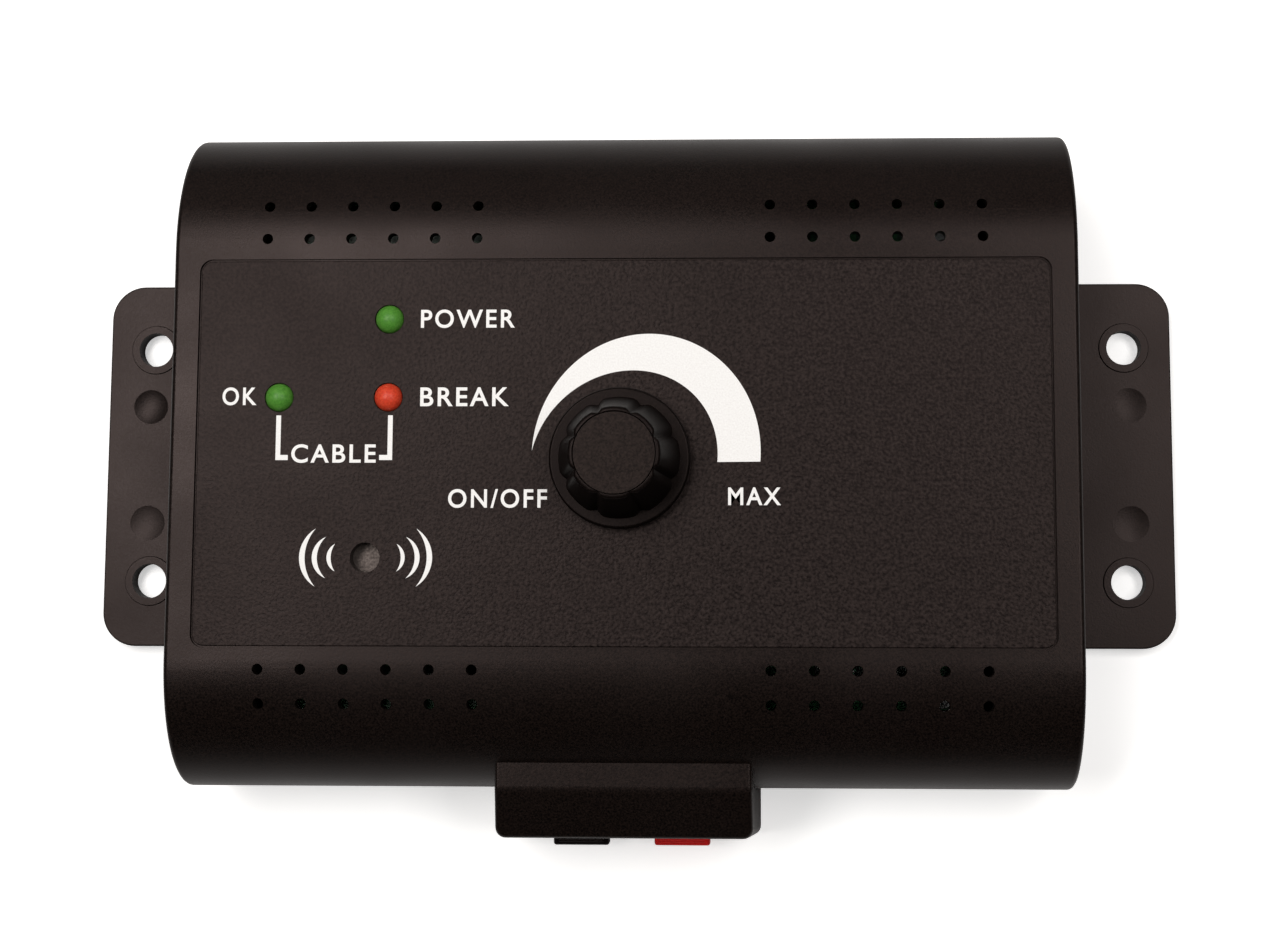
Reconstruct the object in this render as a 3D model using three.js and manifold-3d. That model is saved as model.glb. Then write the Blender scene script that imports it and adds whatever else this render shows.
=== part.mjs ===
// A wall-mounted control box: two moulded shells, a panel film, a rotary knob on a switched
// level control, three lamps, a buzzer and a two-way spring terminal under a hood.
// Millimetres. The box lies on its back: +X is the reading direction, +Y the top of the panel,
// +Z out of the front. The origin is the middle of the flat back, where it meets the wall.
import * as THREE from "three";
import { mergeVertices } from "three/addons/utils/BufferGeometryUtils.js";
import Module from "manifold-3d";

const wasm = await Module();
wasm.setup();

// Case
const BODY_WIDTH = 160.5;
const BODY_LENGTH = 119.8;
const FRONT_Z = 40;
const PARTING_Z = 20;
const WALL = 2.4;
const EDGE = 1;
const BACK_ROUND = 1.8;
const NOSE_RUN = 23.7;
const LIP_HEIGHT = 1.4;
const LIP_WALL = 1.1;

// Ears and mounting holes
const EAR_HALF_WIDTH = 103.7;
const EAR_HALF_LENGTH = 35.25;
const EAR_THICKNESS = 3.2;
const EAR_CORNER = 6.5;
const MOUNT_X = 94.7;
const MOUNT_Y = 22.65;
const MOUNT_HOLE = 6.6;
const PAD_DIAMETER = 9.6;
const PAD_HEIGHT = 0.3;
const DIMPLE_X = 95.5;
const DIMPLE_Y = 11.4;
const DIMPLE_DIAMETER = 7;
const DIMPLE_DEPTH = 0.5;

// Screw posts and the screws' holes in them
const CASE_POST_X = 70;
const CASE_POST_Y = 48;
const FRONT_POST_RADIUS = 3.2;
const BACK_POST_RADIUS = 4.2;
const BOARD_POST_RADIUS = 3.2;
const CASE_PILOT_RADIUS = 1.5;
const CASE_PILOT_TOP = 31;
const CASE_CLEARANCE_RADIUS = 1.7;
const COUNTERBORE_RADIUS = 3.1;
const COUNTERBORE_TOP = 12;
const BOARD_PILOT_RADIUS = 1.3;
const BOARD_PILOT_FLOOR = 8;

// Front face
const RECESS_HALF_WIDTH = 75.5;
const RECESS_HALF_LENGTH = 34.3;
const RECESS_CORNER = 2.3;
const RECESS_DEPTH = 0.5;
const FILM_THICKNESS = 0.35;
const FILM_GAP = 0.3;
const VENT_DIAMETER = 1.9;
const VENT_FIRST_X = 26;
const VENT_PITCH = 7.5;
const VENTS_IN_ROW = 6;
const VENT_ROWS_Y = [-44, -38, 38, 44];
const LAMP_DIAMETER = 5;
const LAMP_HOLE = 5.14;
const LAMPS = {
  power: { x: -41.4, y: 23.5, colour: 0x2f8a35 },
  ok: { x: -60.8, y: 9.6, colour: 0x2f8a35 },
  break: { x: -41.4, y: 9.6, colour: 0xd9482b },
};
const SOUND_X = -45;
const SOUND_Y = -18.6;
const SOUND_HOLE = 5.2;
const SHAFT_HOLE_RADIUS = 3.7;
const KNOB_X = -0.3;
const KNOB_Y = -1.25;

// Hood over the terminals
const HOOD_HALF_WIDTH = 24.3;
const HOOD_REACH = 70.5;
const HOOD_BACK = 3;
const HOOD_TOP = 32.8;
const HOOD_TOP_HALF_WIDTH = 22.7;
const HOOD_TOP_REACH = 67.6;
const HOOD_CORNER = 1.8;
const BAY_HALF_WIDTH = 22.3;
const BAY_LEDGE = 17.2;
const UPPER_BAY_HALF_WIDTH = 20.9;
const HOOD_ROOF_UNDERSIDE = 27.4;
const SHELL_GAP = 0.2;

// Spring terminal
const LEVER_X = 9.5;
const LEVER_WIDTH = 10.5;
const LEVER_GAP = 0.2;
const LEVER_TIP_Y = -72;
const LEVER_THICKNESS = 2.6;
const PIVOT_Y = -57;
const PIVOT_Z = 8;
const PIVOT_RADIUS = 1;
const PIVOT_CLEARANCE = 0.08;
const BLOCK_HALF_WIDTH = 16.8;
const BLOCK_BACK_Y = -46;
const BLOCK_LOW_Z = 3.6;
const BLOCK_HIGH_Z = 16.6;
const FLANGE_HALF_WIDTH = 21.9;
const FLANGE_THICKNESS = 2;
const WIRE_HOLE = 3.4;
const WIRE_HOLE_Z = 13;
const TERMINAL_SCREW_X = 19.4;
const TERMINAL_SCREW_Z = 10;

// Circuit board
const BOARD_LOW_Z = 18;
const BOARD_THICKNESS = 1.6;
const BOARD_HALF_WIDTH = 64;
const BOARD_HALF_LENGTH = 50;
const BOARD_HOLE_X = 57;
const BOARD_HOLE_Y = 43;

// Low-voltage inlet in the lower wall
const INLET_X = 47;
const INLET_Z = 12.5;
const INLET_HOLE_RADIUS = 4.7;
const INLET_COLLAR_RADIUS = 4.5;
const INLET_BORE_RADIUS = 3.15;
const INLET_BODY_LENGTH = 13.5;
const INLET_BODY_HEIGHT = 11;
const INLET_PIN_RADIUS = 1;

const bodyX = BODY_WIDTH / 2;
const bodyY = BODY_LENGTH / 2;
const wallInnerY = bodyY - WALL;
const noseDrop = FRONT_Z - PARTING_Z;
const flatY = bodyY - NOSE_RUN;
const recessFloor = FRONT_Z - RECESS_DEPTH;
const filmTop = recessFloor + FILM_THICKNESS;
const frontWallUnderside = FRONT_Z - WALL - RECESS_DEPTH;
const boardTop = BOARD_LOW_Z + BOARD_THICKNESS;
const flangeFace = -bodyY - FLANGE_THICKNESS;

// ---------------------------------------------------------------- solids and cuts

// A closed three.js geometry as a solid that can be joined and cut.
function solid(geometry) {
  const bare = geometry.index ? geometry.toNonIndexed() : geometry.clone();
  bare.deleteAttribute("normal");
  bare.deleteAttribute("uv");
  const merged = mergeVertices(bare, 1e-4);
  const mesh = new wasm.Mesh({
    numProp: 3,
    vertProperties: merged.attributes.position.array,
    triVerts: new Uint32Array(merged.index.array),
  });
  return new wasm.Manifold(mesh);
}

function geometryOf(shape) {
  const mesh = shape.getMesh();
  const geometry = new THREE.BufferGeometry();
  geometry.setAttribute("position", new THREE.BufferAttribute(mesh.vertProperties, 3));
  geometry.setIndex(new THREE.BufferAttribute(mesh.triVerts, 1));
  geometry.computeVertexNormals();
  return geometry;
}

function join(shapes) {
  return shapes.reduce((whole, shape) => whole.add(shape));
}

// A box between two corners.
function block(low, high) {
  const size = high.map((value, axis) => value - low[axis]);
  const geometry = new THREE.BoxGeometry(...size);
  const middle = high.map((value, axis) => (value + low[axis]) / 2);
  return solid(geometry.translate(...middle));
}

// A round bar along Z.
function bar(radius, x, y, low, high, sides = 20) {
  const geometry = new THREE.CylinderGeometry(radius, radius, high - low, sides);
  return solid(geometry.rotateX(Math.PI / 2).translate(x, y, (low + high) / 2));
}

// A round bar along Y.
function barAlongY(radius, x, z, low, high, sides = 20) {
  const geometry = new THREE.CylinderGeometry(radius, radius, high - low, sides);
  return solid(geometry.translate(x, (low + high) / 2, z));
}

// A round bar along X.
function barAlongX(radius, y, z, low, high, sides = 20) {
  const geometry = new THREE.CylinderGeometry(radius, radius, high - low, sides);
  return solid(geometry.rotateZ(Math.PI / 2).translate((low + high) / 2, y, z));
}

// A profile of [radius, height] points turned about a vertical axis.
function turned(profile, x, y, sides = 32) {
  const points = profile.map(([radius, height]) => new THREE.Vector2(radius, height));
  const geometry = new THREE.LatheGeometry(points, sides);
  return solid(geometry.rotateX(Math.PI / 2).translate(x, y, 0));
}

function rounded(halfWidth, halfLength, radius) {
  const shape = new THREE.Shape();
  const x = halfWidth - radius;
  const y = halfLength - radius;
  shape.absarc(x, y, radius, 0, Math.PI / 2);
  shape.absarc(-x, y, radius, Math.PI / 2, Math.PI);
  shape.absarc(-x, -y, radius, Math.PI, Math.PI * 1.5);
  shape.absarc(x, -y, radius, Math.PI * 1.5, Math.PI * 2);
  return shape;
}

// A flat outline raised along Z.
function plate(shape, low, high, curveSegments = 6) {
  const settings = { depth: high - low, bevelEnabled: false, curveSegments };
  return solid(new THREE.ExtrudeGeometry(shape, settings).translate(0, 0, low));
}

// An outline in Y and Z run along X, with its end edges rounded by `edge`.
function along(shape, low, high, edge = 0, curveSegments = 10) {
  const settings = {
    depth: high - low - 2 * edge,
    bevelEnabled: edge > 0,
    bevelSize: edge,
    bevelOffset: -edge,
    bevelThickness: edge,
    bevelSegments: 2,
    curveSegments,
  };
  const geometry = new THREE.ExtrudeGeometry(shape, settings);
  const xAxis = new THREE.Vector3(1, 0, 0);
  const yAxis = new THREE.Vector3(0, 1, 0);
  const zAxis = new THREE.Vector3(0, 0, 1);
  const turn = new THREE.Matrix4().makeBasis(yAxis, zAxis, xAxis);
  return solid(geometry.applyMatrix4(turn).translate(low + edge, 0, 0));
}

function outline(points) {
  return new THREE.Shape(points.map(([a, b]) => new THREE.Vector2(a, b)));
}

// The four points at plus and minus x and y.
function corners(x, y) {
  return [
    [-x, y],
    [x, y],
    [-x, -y],
    [x, -y],
  ];
}

// ---------------------------------------------------------------- materials and nodes

function plastic(color, roughness = 0.55) {
  return new THREE.MeshStandardMaterial({ color, roughness, metalness: 0 });
}

function metal(color, roughness = 0.35) {
  return new THREE.MeshStandardMaterial({ color, roughness, metalness: 1 });
}

const caseBlack = plastic(0x37322f, 0.5);
const filmBlack = plastic(0x332f2d, 0.6);
const knobBlack = plastic(0x262323, 0.45);
const moulded = plastic(0x1c1b1b, 0.4);
const leverRed = plastic(0xa02424, 0.45);
const boardGreen = plastic(0x1f5a34, 0.5);
const sleeveBlack = plastic(0x17181c, 0.35);
const wireRed = plastic(0xb02a22, 0.5);
const zinc = metal(0xb8b8b4, 0.35);
const nickel = metal(0xc9c6bd, 0.25);
const brass = metal(0xb5903c, 0.35);
const aluminium = metal(0xa9abad, 0.4);
const ferrite = plastic(0x3a3836, 0.8);
const filmYellow = plastic(0xb98a2a, 0.4);
const fuseGlass = plastic(0xdfe6e6, 0.1);

const root = new THREE.Group();
const knobGroup = new THREE.Group();
const leverGroup = new THREE.Group();
root.add(knobGroup, leverGroup);

function node(name, shape, material, group = root) {
  const mesh = new THREE.Mesh(geometryOf(shape), material);
  mesh.name = name;
  group.add(mesh);
}

// ---------------------------------------------------------------- case

// Section of the front half across Y: flat top, a quarter ellipse down each side.
function noseSection(inset, bottom) {
  const top = FRONT_Z - inset;
  const side = bodyY - inset;
  const shape = new THREE.Shape();
  shape.moveTo(-side, bottom);
  shape.lineTo(-side, PARTING_Z);
  const run = NOSE_RUN - inset;
  const drop = noseDrop - inset;
  shape.absellipse(-flatY, PARTING_Z, run, drop, Math.PI, Math.PI / 2, true);
  shape.absellipse(flatY, PARTING_Z, run, drop, Math.PI / 2, 0, true);
  shape.lineTo(side, bottom);
  return shape;
}

// Flat top off the nose, then a roof falling 20 degrees. The cheeks and the front are drafted.
function hoodBlank() {
  const back = -bodyY - SHELL_GAP;
  const section = outline([
    [back, HOOD_BACK],
    [back, PARTING_Z],
    [-52, PARTING_Z],
    [-52, HOOD_TOP],
    [-58.9, HOOD_TOP],
    [-59.4, 32.7],
    [-66.6, 30.1],
    [-67.2, 29.8],
    [-HOOD_TOP_REACH, 29.1],
    [-HOOD_REACH, HOOD_BACK],
  ]);
  const run = along(section, -HOOD_HALF_WIDTH, HOOD_HALF_WIDTH);
  const foot = rounded(HOOD_HALF_WIDTH, HOOD_REACH, HOOD_CORNER);
  const crown = rounded(HOOD_TOP_HALF_WIDTH, HOOD_TOP_REACH, HOOD_CORNER);
  const slab = 0.1;
  const draft = wasm.Manifold.hull([
    plate(foot, HOOD_BACK - slab, HOOD_BACK, 4),
    plate(crown, HOOD_TOP, HOOD_TOP + slab, 4),
  ]);
  return run.intersect(draft);
}

function ventHoles() {
  const holes = [];
  for (const y of VENT_ROWS_Y)
    for (const side of [-1, 1])
      for (let i = 0; i < VENTS_IN_ROW; i += 1) {
        const x = side * (VENT_FIRST_X + i * VENT_PITCH);
        holes.push(bar(VENT_DIAMETER / 2, x, y, FRONT_Z - 8, FRONT_Z + 1, 8));
      }
  return holes;
}

function topShell() {
  const blank = along(noseSection(0, PARTING_Z - 4), -bodyX, bodyX, EDGE);
  const outer = blank.subtract(block([-bodyX, -bodyY, 0], [bodyX, bodyY, PARTING_Z]));
  const inside = along(noseSection(WALL, PARTING_Z - 4), -bodyX + WALL, bodyX - WALL);
  const posts = corners(CASE_POST_X, CASE_POST_Y).map(([x, y]) => {
    return bar(FRONT_POST_RADIUS, x, y, 0, FRONT_Z, 12);
  });
  const panelBoss = plate(rounded(RECESS_HALF_WIDTH, RECESS_HALF_LENGTH, 2), frontWallUnderside, FRONT_Z);
  const cavity = inside.subtract(join([...posts, panelBoss]));
  const bayFront = -HOOD_REACH - 5;
  const bayBack = -bodyY - SHELL_GAP / 2;
  const lowerBay = block([-BAY_HALF_WIDTH, bayFront, 0], [BAY_HALF_WIDTH, bayBack, BAY_LEDGE]);
  const upperBayLow = [-UPPER_BAY_HALF_WIDTH, bayFront, BAY_LEDGE - 1];
  const upperBay = block(upperBayLow, [UPPER_BAY_HALF_WIDTH, bayBack, HOOD_ROOF_UNDERSIDE]);
  const recess = rounded(RECESS_HALF_WIDTH, RECESS_HALF_LENGTH, RECESS_CORNER);
  const lampHoles = Object.values(LAMPS).map(({ x, y }) => bar(LAMP_HOLE / 2, x, y, 30, 45));
  const screwHoles = corners(CASE_POST_X, CASE_POST_Y).map(([x, y]) => {
    return bar(CASE_PILOT_RADIUS, x, y, 0, CASE_PILOT_TOP, 12);
  });
  const cuts = [
    cavity,
    lowerBay,
    upperBay,
    plate(recess, recessFloor, FRONT_Z + 1),
    bar(SOUND_HOLE / 2, SOUND_X, SOUND_Y, 30, 45),
    bar(SHAFT_HOLE_RADIUS, KNOB_X, KNOB_Y, 30, 45),
    ...lampHoles,
    ...screwHoles,
    ...ventHoles(),
  ];
  return outer.add(hoodBlank()).subtract(join(cuts));
}

function ears() {
  const shape = rounded(EAR_HALF_WIDTH, EAR_HALF_LENGTH, EAR_CORNER);
  const pads = corners(MOUNT_X, MOUNT_Y).map(([x, y]) => {
    return bar(PAD_DIAMETER / 2, x, y, 1, EAR_THICKNESS + PAD_HEIGHT);
  });
  return join([plate(shape, 0, EAR_THICKNESS), ...pads]);
}

// Section of the back half across Y: straight walls and a small round at the back edges.
function traySection() {
  const shape = new THREE.Shape();
  shape.moveTo(-bodyY, PARTING_Z + 4);
  shape.lineTo(-bodyY, BACK_ROUND);
  shape.absarc(-bodyY + BACK_ROUND, BACK_ROUND, BACK_ROUND, Math.PI, Math.PI * 1.5);
  shape.absarc(bodyY - BACK_ROUND, BACK_ROUND, BACK_ROUND, Math.PI * 1.5, Math.PI * 2);
  shape.lineTo(bodyY, PARTING_Z + 4);
  return shape;
}

function bottomShell() {
  const run = along(traySection(), -bodyX, bodyX, 0, 3);
  const blank = run.intersect(plate(rounded(bodyX, bodyY, EDGE), -1, PARTING_Z + 2, 2));
  const above = block([-bodyX - 1, -bodyY - 1, PARTING_Z], [bodyX + 1, bodyY + 1, PARTING_Z + 9]);
  const tray = blank.subtract(above).add(ears());
  const casePosts = corners(CASE_POST_X, CASE_POST_Y).map(([x, y]) => {
    return bar(BACK_POST_RADIUS, x, y, 0, PARTING_Z, 12);
  });
  const boardPosts = corners(BOARD_HOLE_X, BOARD_HOLE_Y).map(([x, y]) => {
    return bar(BOARD_POST_RADIUS, x, y, 0, BOARD_LOW_Z, 12);
  });
  const innerX = bodyX - WALL;
  const room = block([-innerX, -wallInnerY, WALL], [innerX, wallInnerY, PARTING_Z + 5]);
  const lipOuter = [innerX - 0.25, wallInnerY - 0.3];
  const lipX = lipOuter[0] - LIP_WALL;
  const lipY = lipOuter[1] - LIP_WALL;
  const lipLow = PARTING_Z - 3;
  const rootX = innerX + 0.1;
  const rootY = wallInnerY + 0.1;
  const lipRoot = block([-rootX, -rootY, lipLow], [rootX, rootY, PARTING_Z]);
  const lipTop = block([-lipOuter[0], -lipOuter[1], lipLow], [...lipOuter, PARTING_Z + LIP_HEIGHT]);
  const lipRoom = block([-lipX, -lipY, 0], [lipX, lipY, PARTING_Z + 5]);
  const lip = lipRoot.add(lipTop).subtract(lipRoom);
  const cavity = room.subtract(join([...casePosts, ...boardPosts]));
  const windowX = BLOCK_HALF_WIDTH + SHELL_GAP;
  const windowLow = [-windowX, -bodyY - 1, BLOCK_LOW_Z - SHELL_GAP];
  const windowHigh = [windowX, -lipY + 0.1, BLOCK_HIGH_Z + SHELL_GAP];
  const terminalWindow = block(windowLow, windowHigh);
  const inletHole = barAlongY(INLET_HOLE_RADIUS, INLET_X, INLET_Z, -bodyY - 1, -lipY);
  const mountHoles = corners(MOUNT_X, MOUNT_Y).map(([x, y]) => bar(MOUNT_HOLE / 2, x, y, -1, 5));
  const dimples = corners(DIMPLE_X, DIMPLE_Y).map(([x, y]) => {
    return bar(DIMPLE_DIAMETER / 2, x, y, EAR_THICKNESS - DIMPLE_DEPTH, EAR_THICKNESS + 1);
  });
  const counterbores = corners(CASE_POST_X, CASE_POST_Y).map(([x, y]) => {
    return bar(COUNTERBORE_RADIUS, x, y, -1, COUNTERBORE_TOP, 12);
  });
  const clearance = corners(CASE_POST_X, CASE_POST_Y).map(([x, y]) => {
    return bar(CASE_CLEARANCE_RADIUS, x, y, 0, PARTING_Z + 1, 12);
  });
  const pilots = corners(BOARD_HOLE_X, BOARD_HOLE_Y).map(([x, y]) => {
    return bar(BOARD_PILOT_RADIUS, x, y, BOARD_PILOT_FLOOR, BOARD_LOW_Z + 1, 12);
  });
  const terminalPilots = [-1, 1].map((side) => {
    const x = side * TERMINAL_SCREW_X;
    return barAlongY(1.25, x, TERMINAL_SCREW_Z, -bodyY - 1, -wallInnerY + 1, 12);
  });
  const cuts = [terminalWindow, inletHole, ...mountHoles, ...dimples, ...counterbores, ...clearance];
  return tray.subtract(cavity).add(lip).subtract(join([...cuts, ...pilots, ...terminalPilots]));
}

function panelFilm() {
  const halfWidth = RECESS_HALF_WIDTH - FILM_GAP;
  const film = rounded(halfWidth, RECESS_HALF_LENGTH - FILM_GAP, RECESS_CORNER - FILM_GAP);
  const lampHoles = Object.values(LAMPS).map(({ x, y }) => bar(LAMP_HOLE / 2, x, y, 30, 45));
  const soundHole = bar(SOUND_HOLE / 2, SOUND_X, SOUND_Y, 30, 45);
  const knobHole = bar(SHAFT_HOLE_RADIUS, KNOB_X, KNOB_Y, 30, 45);
  return plate(film, recessFloor, filmTop).subtract(join([soundHole, knobHole, ...lampHoles]));
}

node("top_shell", topShell(), caseBlack);
node("bottom_shell", bottomShell(), caseBlack);
node("panel_film", panelFilm(), filmBlack);

// ---------------------------------------------------------------- screws

// A pan-head screw pointing up or down Z, with a cross cut in its head.
function screw(x, y, headZ, headRadius, shankRadius, length, up) {
  const sign = up ? 1 : -1;
  const headHeight = 2.2;
  const headFar = headZ - sign * headHeight;
  const head = bar(headRadius, x, y, Math.min(headZ, headFar), Math.max(headZ, headFar), 16);
  const end = headZ + sign * length;
  const shank = bar(shankRadius, x, y, Math.min(headZ, end), Math.max(headZ, end), 12);
  const floor = headFar + sign * 1.1;
  const cut = (halfX, halfY) => {
    const low = Math.min(floor, headFar - sign);
    return block([x - halfX, y - halfY, low], [x + halfX, y + halfY, Math.max(floor, headFar - sign)]);
  };
  return head.add(shank).subtract(cut(1.6, 0.35).add(cut(0.35, 1.6)));
}

corners(CASE_POST_X, CASE_POST_Y).forEach(([x, y], i) => {
  node(`case_screw_${i + 1}`, screw(x, y, COUNTERBORE_TOP, 2.8, 1.4, 17, true), zinc);
});
corners(BOARD_HOLE_X, BOARD_HOLE_Y).forEach(([x, y], i) => {
  node(`board_screw_${i + 1}`, screw(x, y, boardTop, 2.6, 1.2, 9, false), zinc);
});

// ---------------------------------------------------------------- level control and knob

const CAN_RADIUS = 8.3;
const CAN_TOP = 36.6;
const CAN_LOW = 27.6;
const SWITCH_LOW = 20.2;
const BUSH_RADIUS = 3.5;
const SHAFT_RADIUS = 3;
const NUT_FLATS = 10;
const NUT_HEIGHT = 2;
const WASHER_THICKNESS = 0.5;

function controlCan() {
  const slot = block([-0.6, -0.6, 0], [0.6, 0.6, 1]);
  const can = bar(CAN_RADIUS, KNOB_X, KNOB_Y, CAN_LOW, CAN_TOP);
  const bore = bar(SHAFT_RADIUS + 0.08, KNOB_X, KNOB_Y, CAN_TOP - 2.5, CAN_TOP + 1);
  return can.subtract(bore).subtract(slot.translate([KNOB_X, KNOB_Y + CAN_RADIUS, CAN_TOP - 1]));
}

function controlBush() {
  const tube = bar(BUSH_RADIUS, KNOB_X, KNOB_Y, CAN_TOP, CAN_TOP + 7.4);
  return tube.subtract(bar(SHAFT_RADIUS + 0.08, KNOB_X, KNOB_Y, CAN_TOP - 1, CAN_TOP + 9));
}

function controlNut() {
  const low = filmTop + WASHER_THICKNESS;
  const hexagon = bar(NUT_FLATS / Math.sqrt(3), KNOB_X, KNOB_Y, low, low + NUT_HEIGHT, 6);
  return hexagon.subtract(bar(BUSH_RADIUS + 0.1, KNOB_X, KNOB_Y, low - 1, low + 3));
}

function controlWasher() {
  const disc = bar(6, KNOB_X, KNOB_Y, filmTop, filmTop + WASHER_THICKNESS);
  return disc.subtract(bar(BUSH_RADIUS + 0.1, KNOB_X, KNOB_Y, filmTop - 1, filmTop + 2));
}

// A soldered pin: out of the can's side, then down to the board.
function controlPin(x) {
  const reach = KNOB_Y - 12.8;
  const across = block([x - 0.6, reach, 31], [x + 0.6, KNOB_Y - CAN_RADIUS, 31.5]);
  const down = block([x - 0.6, reach, boardTop], [x + 0.6, reach + 0.5, 31.5]);
  return across.add(down);
}

node("control_can", controlCan(), zinc);
node("control_switch", bar(CAN_RADIUS - 0.5, KNOB_X, KNOB_Y, SWITCH_LOW, CAN_LOW), moulded);
node("control_bush", controlBush(), brass);
node("control_washer", controlWasher(), zinc);
node("control_nut", controlNut(), nickel);
[-5, 0, 5].forEach((offset, i) => node(`control_pin_${i + 1}`, controlPin(KNOB_X + offset), nickel));

// Knob: a flat skirt and a tapering grip with eight shallow lobes.
const SKIRT_RADIUS = 12.35;
const SKIRT_LOW = filmTop + 0.6;
const SKIRT_TOP = 42.5;
const GRIP_BASE = 10.7;
const GRIP_TOP = 7.75;
const KNOB_TOP = 55;
const CAP_RADIUS = 6.9;
const CAP_DEPTH = 1.2;
const LOBES = 8;
const SOCKET_TOP = 52.5;
const NUT_ROOM = 8;

function knobBody() {
  const stepped = turned(
    [
      [0, SKIRT_LOW],
      [SKIRT_RADIUS, SKIRT_LOW],
      [SKIRT_RADIUS, SKIRT_TOP - 0.5],
      [SKIRT_RADIUS - 0.5, SKIRT_TOP],
      [GRIP_BASE, SKIRT_TOP],
      [GRIP_TOP, KNOB_TOP - 0.4],
      [GRIP_TOP - 0.4, KNOB_TOP],
      [0, KNOB_TOP],
    ],
    KNOB_X,
    KNOB_Y,
    48,
  );
  const notches = [];
  for (let i = 0; i < LOBES; i += 1) {
    const angle = ((i + 0.5) * 2 * Math.PI) / LOBES;
    const height = KNOB_TOP - SKIRT_TOP;
    const groove = new THREE.CylinderGeometry(0.9, 0.9, height + 4, 8);
    groove.rotateX(Math.PI / 2);
    groove.rotateY(-Math.atan2(GRIP_BASE - GRIP_TOP, height));
    groove.translate((GRIP_BASE + GRIP_TOP) / 2 + 0.35, 0, (SKIRT_TOP + KNOB_TOP) / 2);
    groove.rotateZ(angle).translate(KNOB_X, KNOB_Y, 0);
    notches.push(solid(groove));
  }
  const aboveSkirt = block([-30, -30, SKIRT_TOP], [30, 30, KNOB_TOP + 5]);
  const grooves = join(notches).intersect(aboveSkirt);
  const capSeat = bar(CAP_RADIUS + 0.15, KNOB_X, KNOB_Y, KNOB_TOP - CAP_DEPTH, KNOB_TOP + 1, 32);
  const nutRoom = bar(NUT_ROOM, KNOB_X, KNOB_Y, SKIRT_LOW - 1, CAN_TOP + 8.4);
  const socket = bar(SHAFT_RADIUS + 0.05, KNOB_X, KNOB_Y, SKIRT_LOW - 1, SOCKET_TOP + 0.1);
  return stepped.subtract(join([grooves, capSeat, nutRoom, socket]));
}

node("knob", knobBody(), knobBlack, knobGroup);
const capDisc = bar(CAP_RADIUS, KNOB_X, KNOB_Y, KNOB_TOP - CAP_DEPTH, KNOB_TOP, 32);
node("knob_cap", capDisc, knobBlack, knobGroup);
node("control_shaft", bar(SHAFT_RADIUS, KNOB_X, KNOB_Y, CAN_TOP - 2.2, SOCKET_TOP), aluminium, knobGroup);

// ---------------------------------------------------------------- lamps and buzzer

const LAMP_FLANGE_RADIUS = 2.9;
const LAMP_FLANGE_LOW = 33.8;
const LAMP_DOME_LOW = 39.2;
const BUZZER_RADIUS = 7;
const BUZZER_LOW = 28;
const BUZZER_TOP = 36.8;
const WELL_RADIUS = 5.4;
const WELL_FLOOR = 36;

function lamp(x, y) {
  const radius = LAMP_DIAMETER / 2;
  const dome = [30, 60, 90].map((degrees) => {
    const angle = THREE.MathUtils.degToRad(degrees);
    return [radius * Math.cos(angle), LAMP_DOME_LOW + radius * Math.sin(angle)];
  });
  dome[2][0] = 0;
  const body = turned(
    [
      [0, LAMP_FLANGE_LOW],
      [LAMP_FLANGE_RADIUS, LAMP_FLANGE_LOW],
      [LAMP_FLANGE_RADIUS, LAMP_FLANGE_LOW + 1],
      [radius, LAMP_FLANGE_LOW + 1],
      [radius, LAMP_DOME_LOW],
      ...dome,
    ],
    x,
    y,
    20,
  );
  const legs = [-1.27, 1.27].map((side) => {
    return block([x + side - 0.25, y - 0.25, boardTop], [x + side + 0.25, y + 0.25, LAMP_FLANGE_LOW + 0.5]);
  });
  return join([body, ...legs]);
}

function lampSpacer(x, y) {
  const tube = bar(LAMP_FLANGE_RADIUS, x, y, boardTop, LAMP_FLANGE_LOW, 16);
  return tube.subtract(bar(2, x, y, boardTop - 1, LAMP_FLANGE_LOW + 1, 16));
}

for (const [name, { x, y, colour }] of Object.entries(LAMPS)) {
  node(`lamp_${name}`, lamp(x, y), plastic(colour, 0.25));
  node(`lamp_spacer_${name}`, lampSpacer(x, y), moulded);
}

function buzzerCase() {
  const can = bar(BUZZER_RADIUS, SOUND_X, SOUND_Y, BUZZER_LOW, BUZZER_TOP);
  const legs = [-3.8, 3.8].map((side) => {
    return bar(0.4, SOUND_X + side, SOUND_Y, boardTop, BUZZER_LOW + 0.5, 8);
  });
  const well = bar(WELL_RADIUS, SOUND_X, SOUND_Y, WELL_FLOOR, BUZZER_TOP + 1);
  return join([can, ...legs]).subtract(well);
}

node("buzzer", buzzerCase(), moulded);
const disc = bar(WELL_RADIUS - 0.2, SOUND_X, SOUND_Y, WELL_FLOOR, WELL_FLOOR + 0.4);
node("buzzer_disc", disc, aluminium);

// ---------------------------------------------------------------- circuit board

function board() {
  const sheet = plate(rounded(BOARD_HALF_WIDTH, BOARD_HALF_LENGTH, 2), BOARD_LOW_Z, boardTop, 3);
  const screwHoles = corners(BOARD_HOLE_X, BOARD_HOLE_Y).map(([x, y]) => bar(1.6, x, y, 10, 25, 12));
  const switchHole = bar(11, KNOB_X, KNOB_Y, 10, 25);
  return sheet.subtract(join([...screwHoles, switchHole]));
}

// A dual-in-line chip: body with a pin-one notch, on a socket strip that stands for its legs.
function chip(x, y, halfWidth, halfLength) {
  const low = [x - halfWidth, y - halfLength, boardTop + 0.8];
  const body = block(low, [x + halfWidth, y + halfLength, boardTop + 4.2]);
  const notch = bar(0.8, x - halfWidth, y, boardTop + 3.4, boardTop + 5, 12);
  const rows = [-1, 1].map((side) => {
    const row = y + side * (halfLength + 0.3);
    const reach = halfWidth - 0.6;
    return block([x - reach, row - 0.4, boardTop], [x + reach, row + 0.4, boardTop + 2.4]);
  });
  return join([body, ...rows]).subtract(notch);
}

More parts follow.
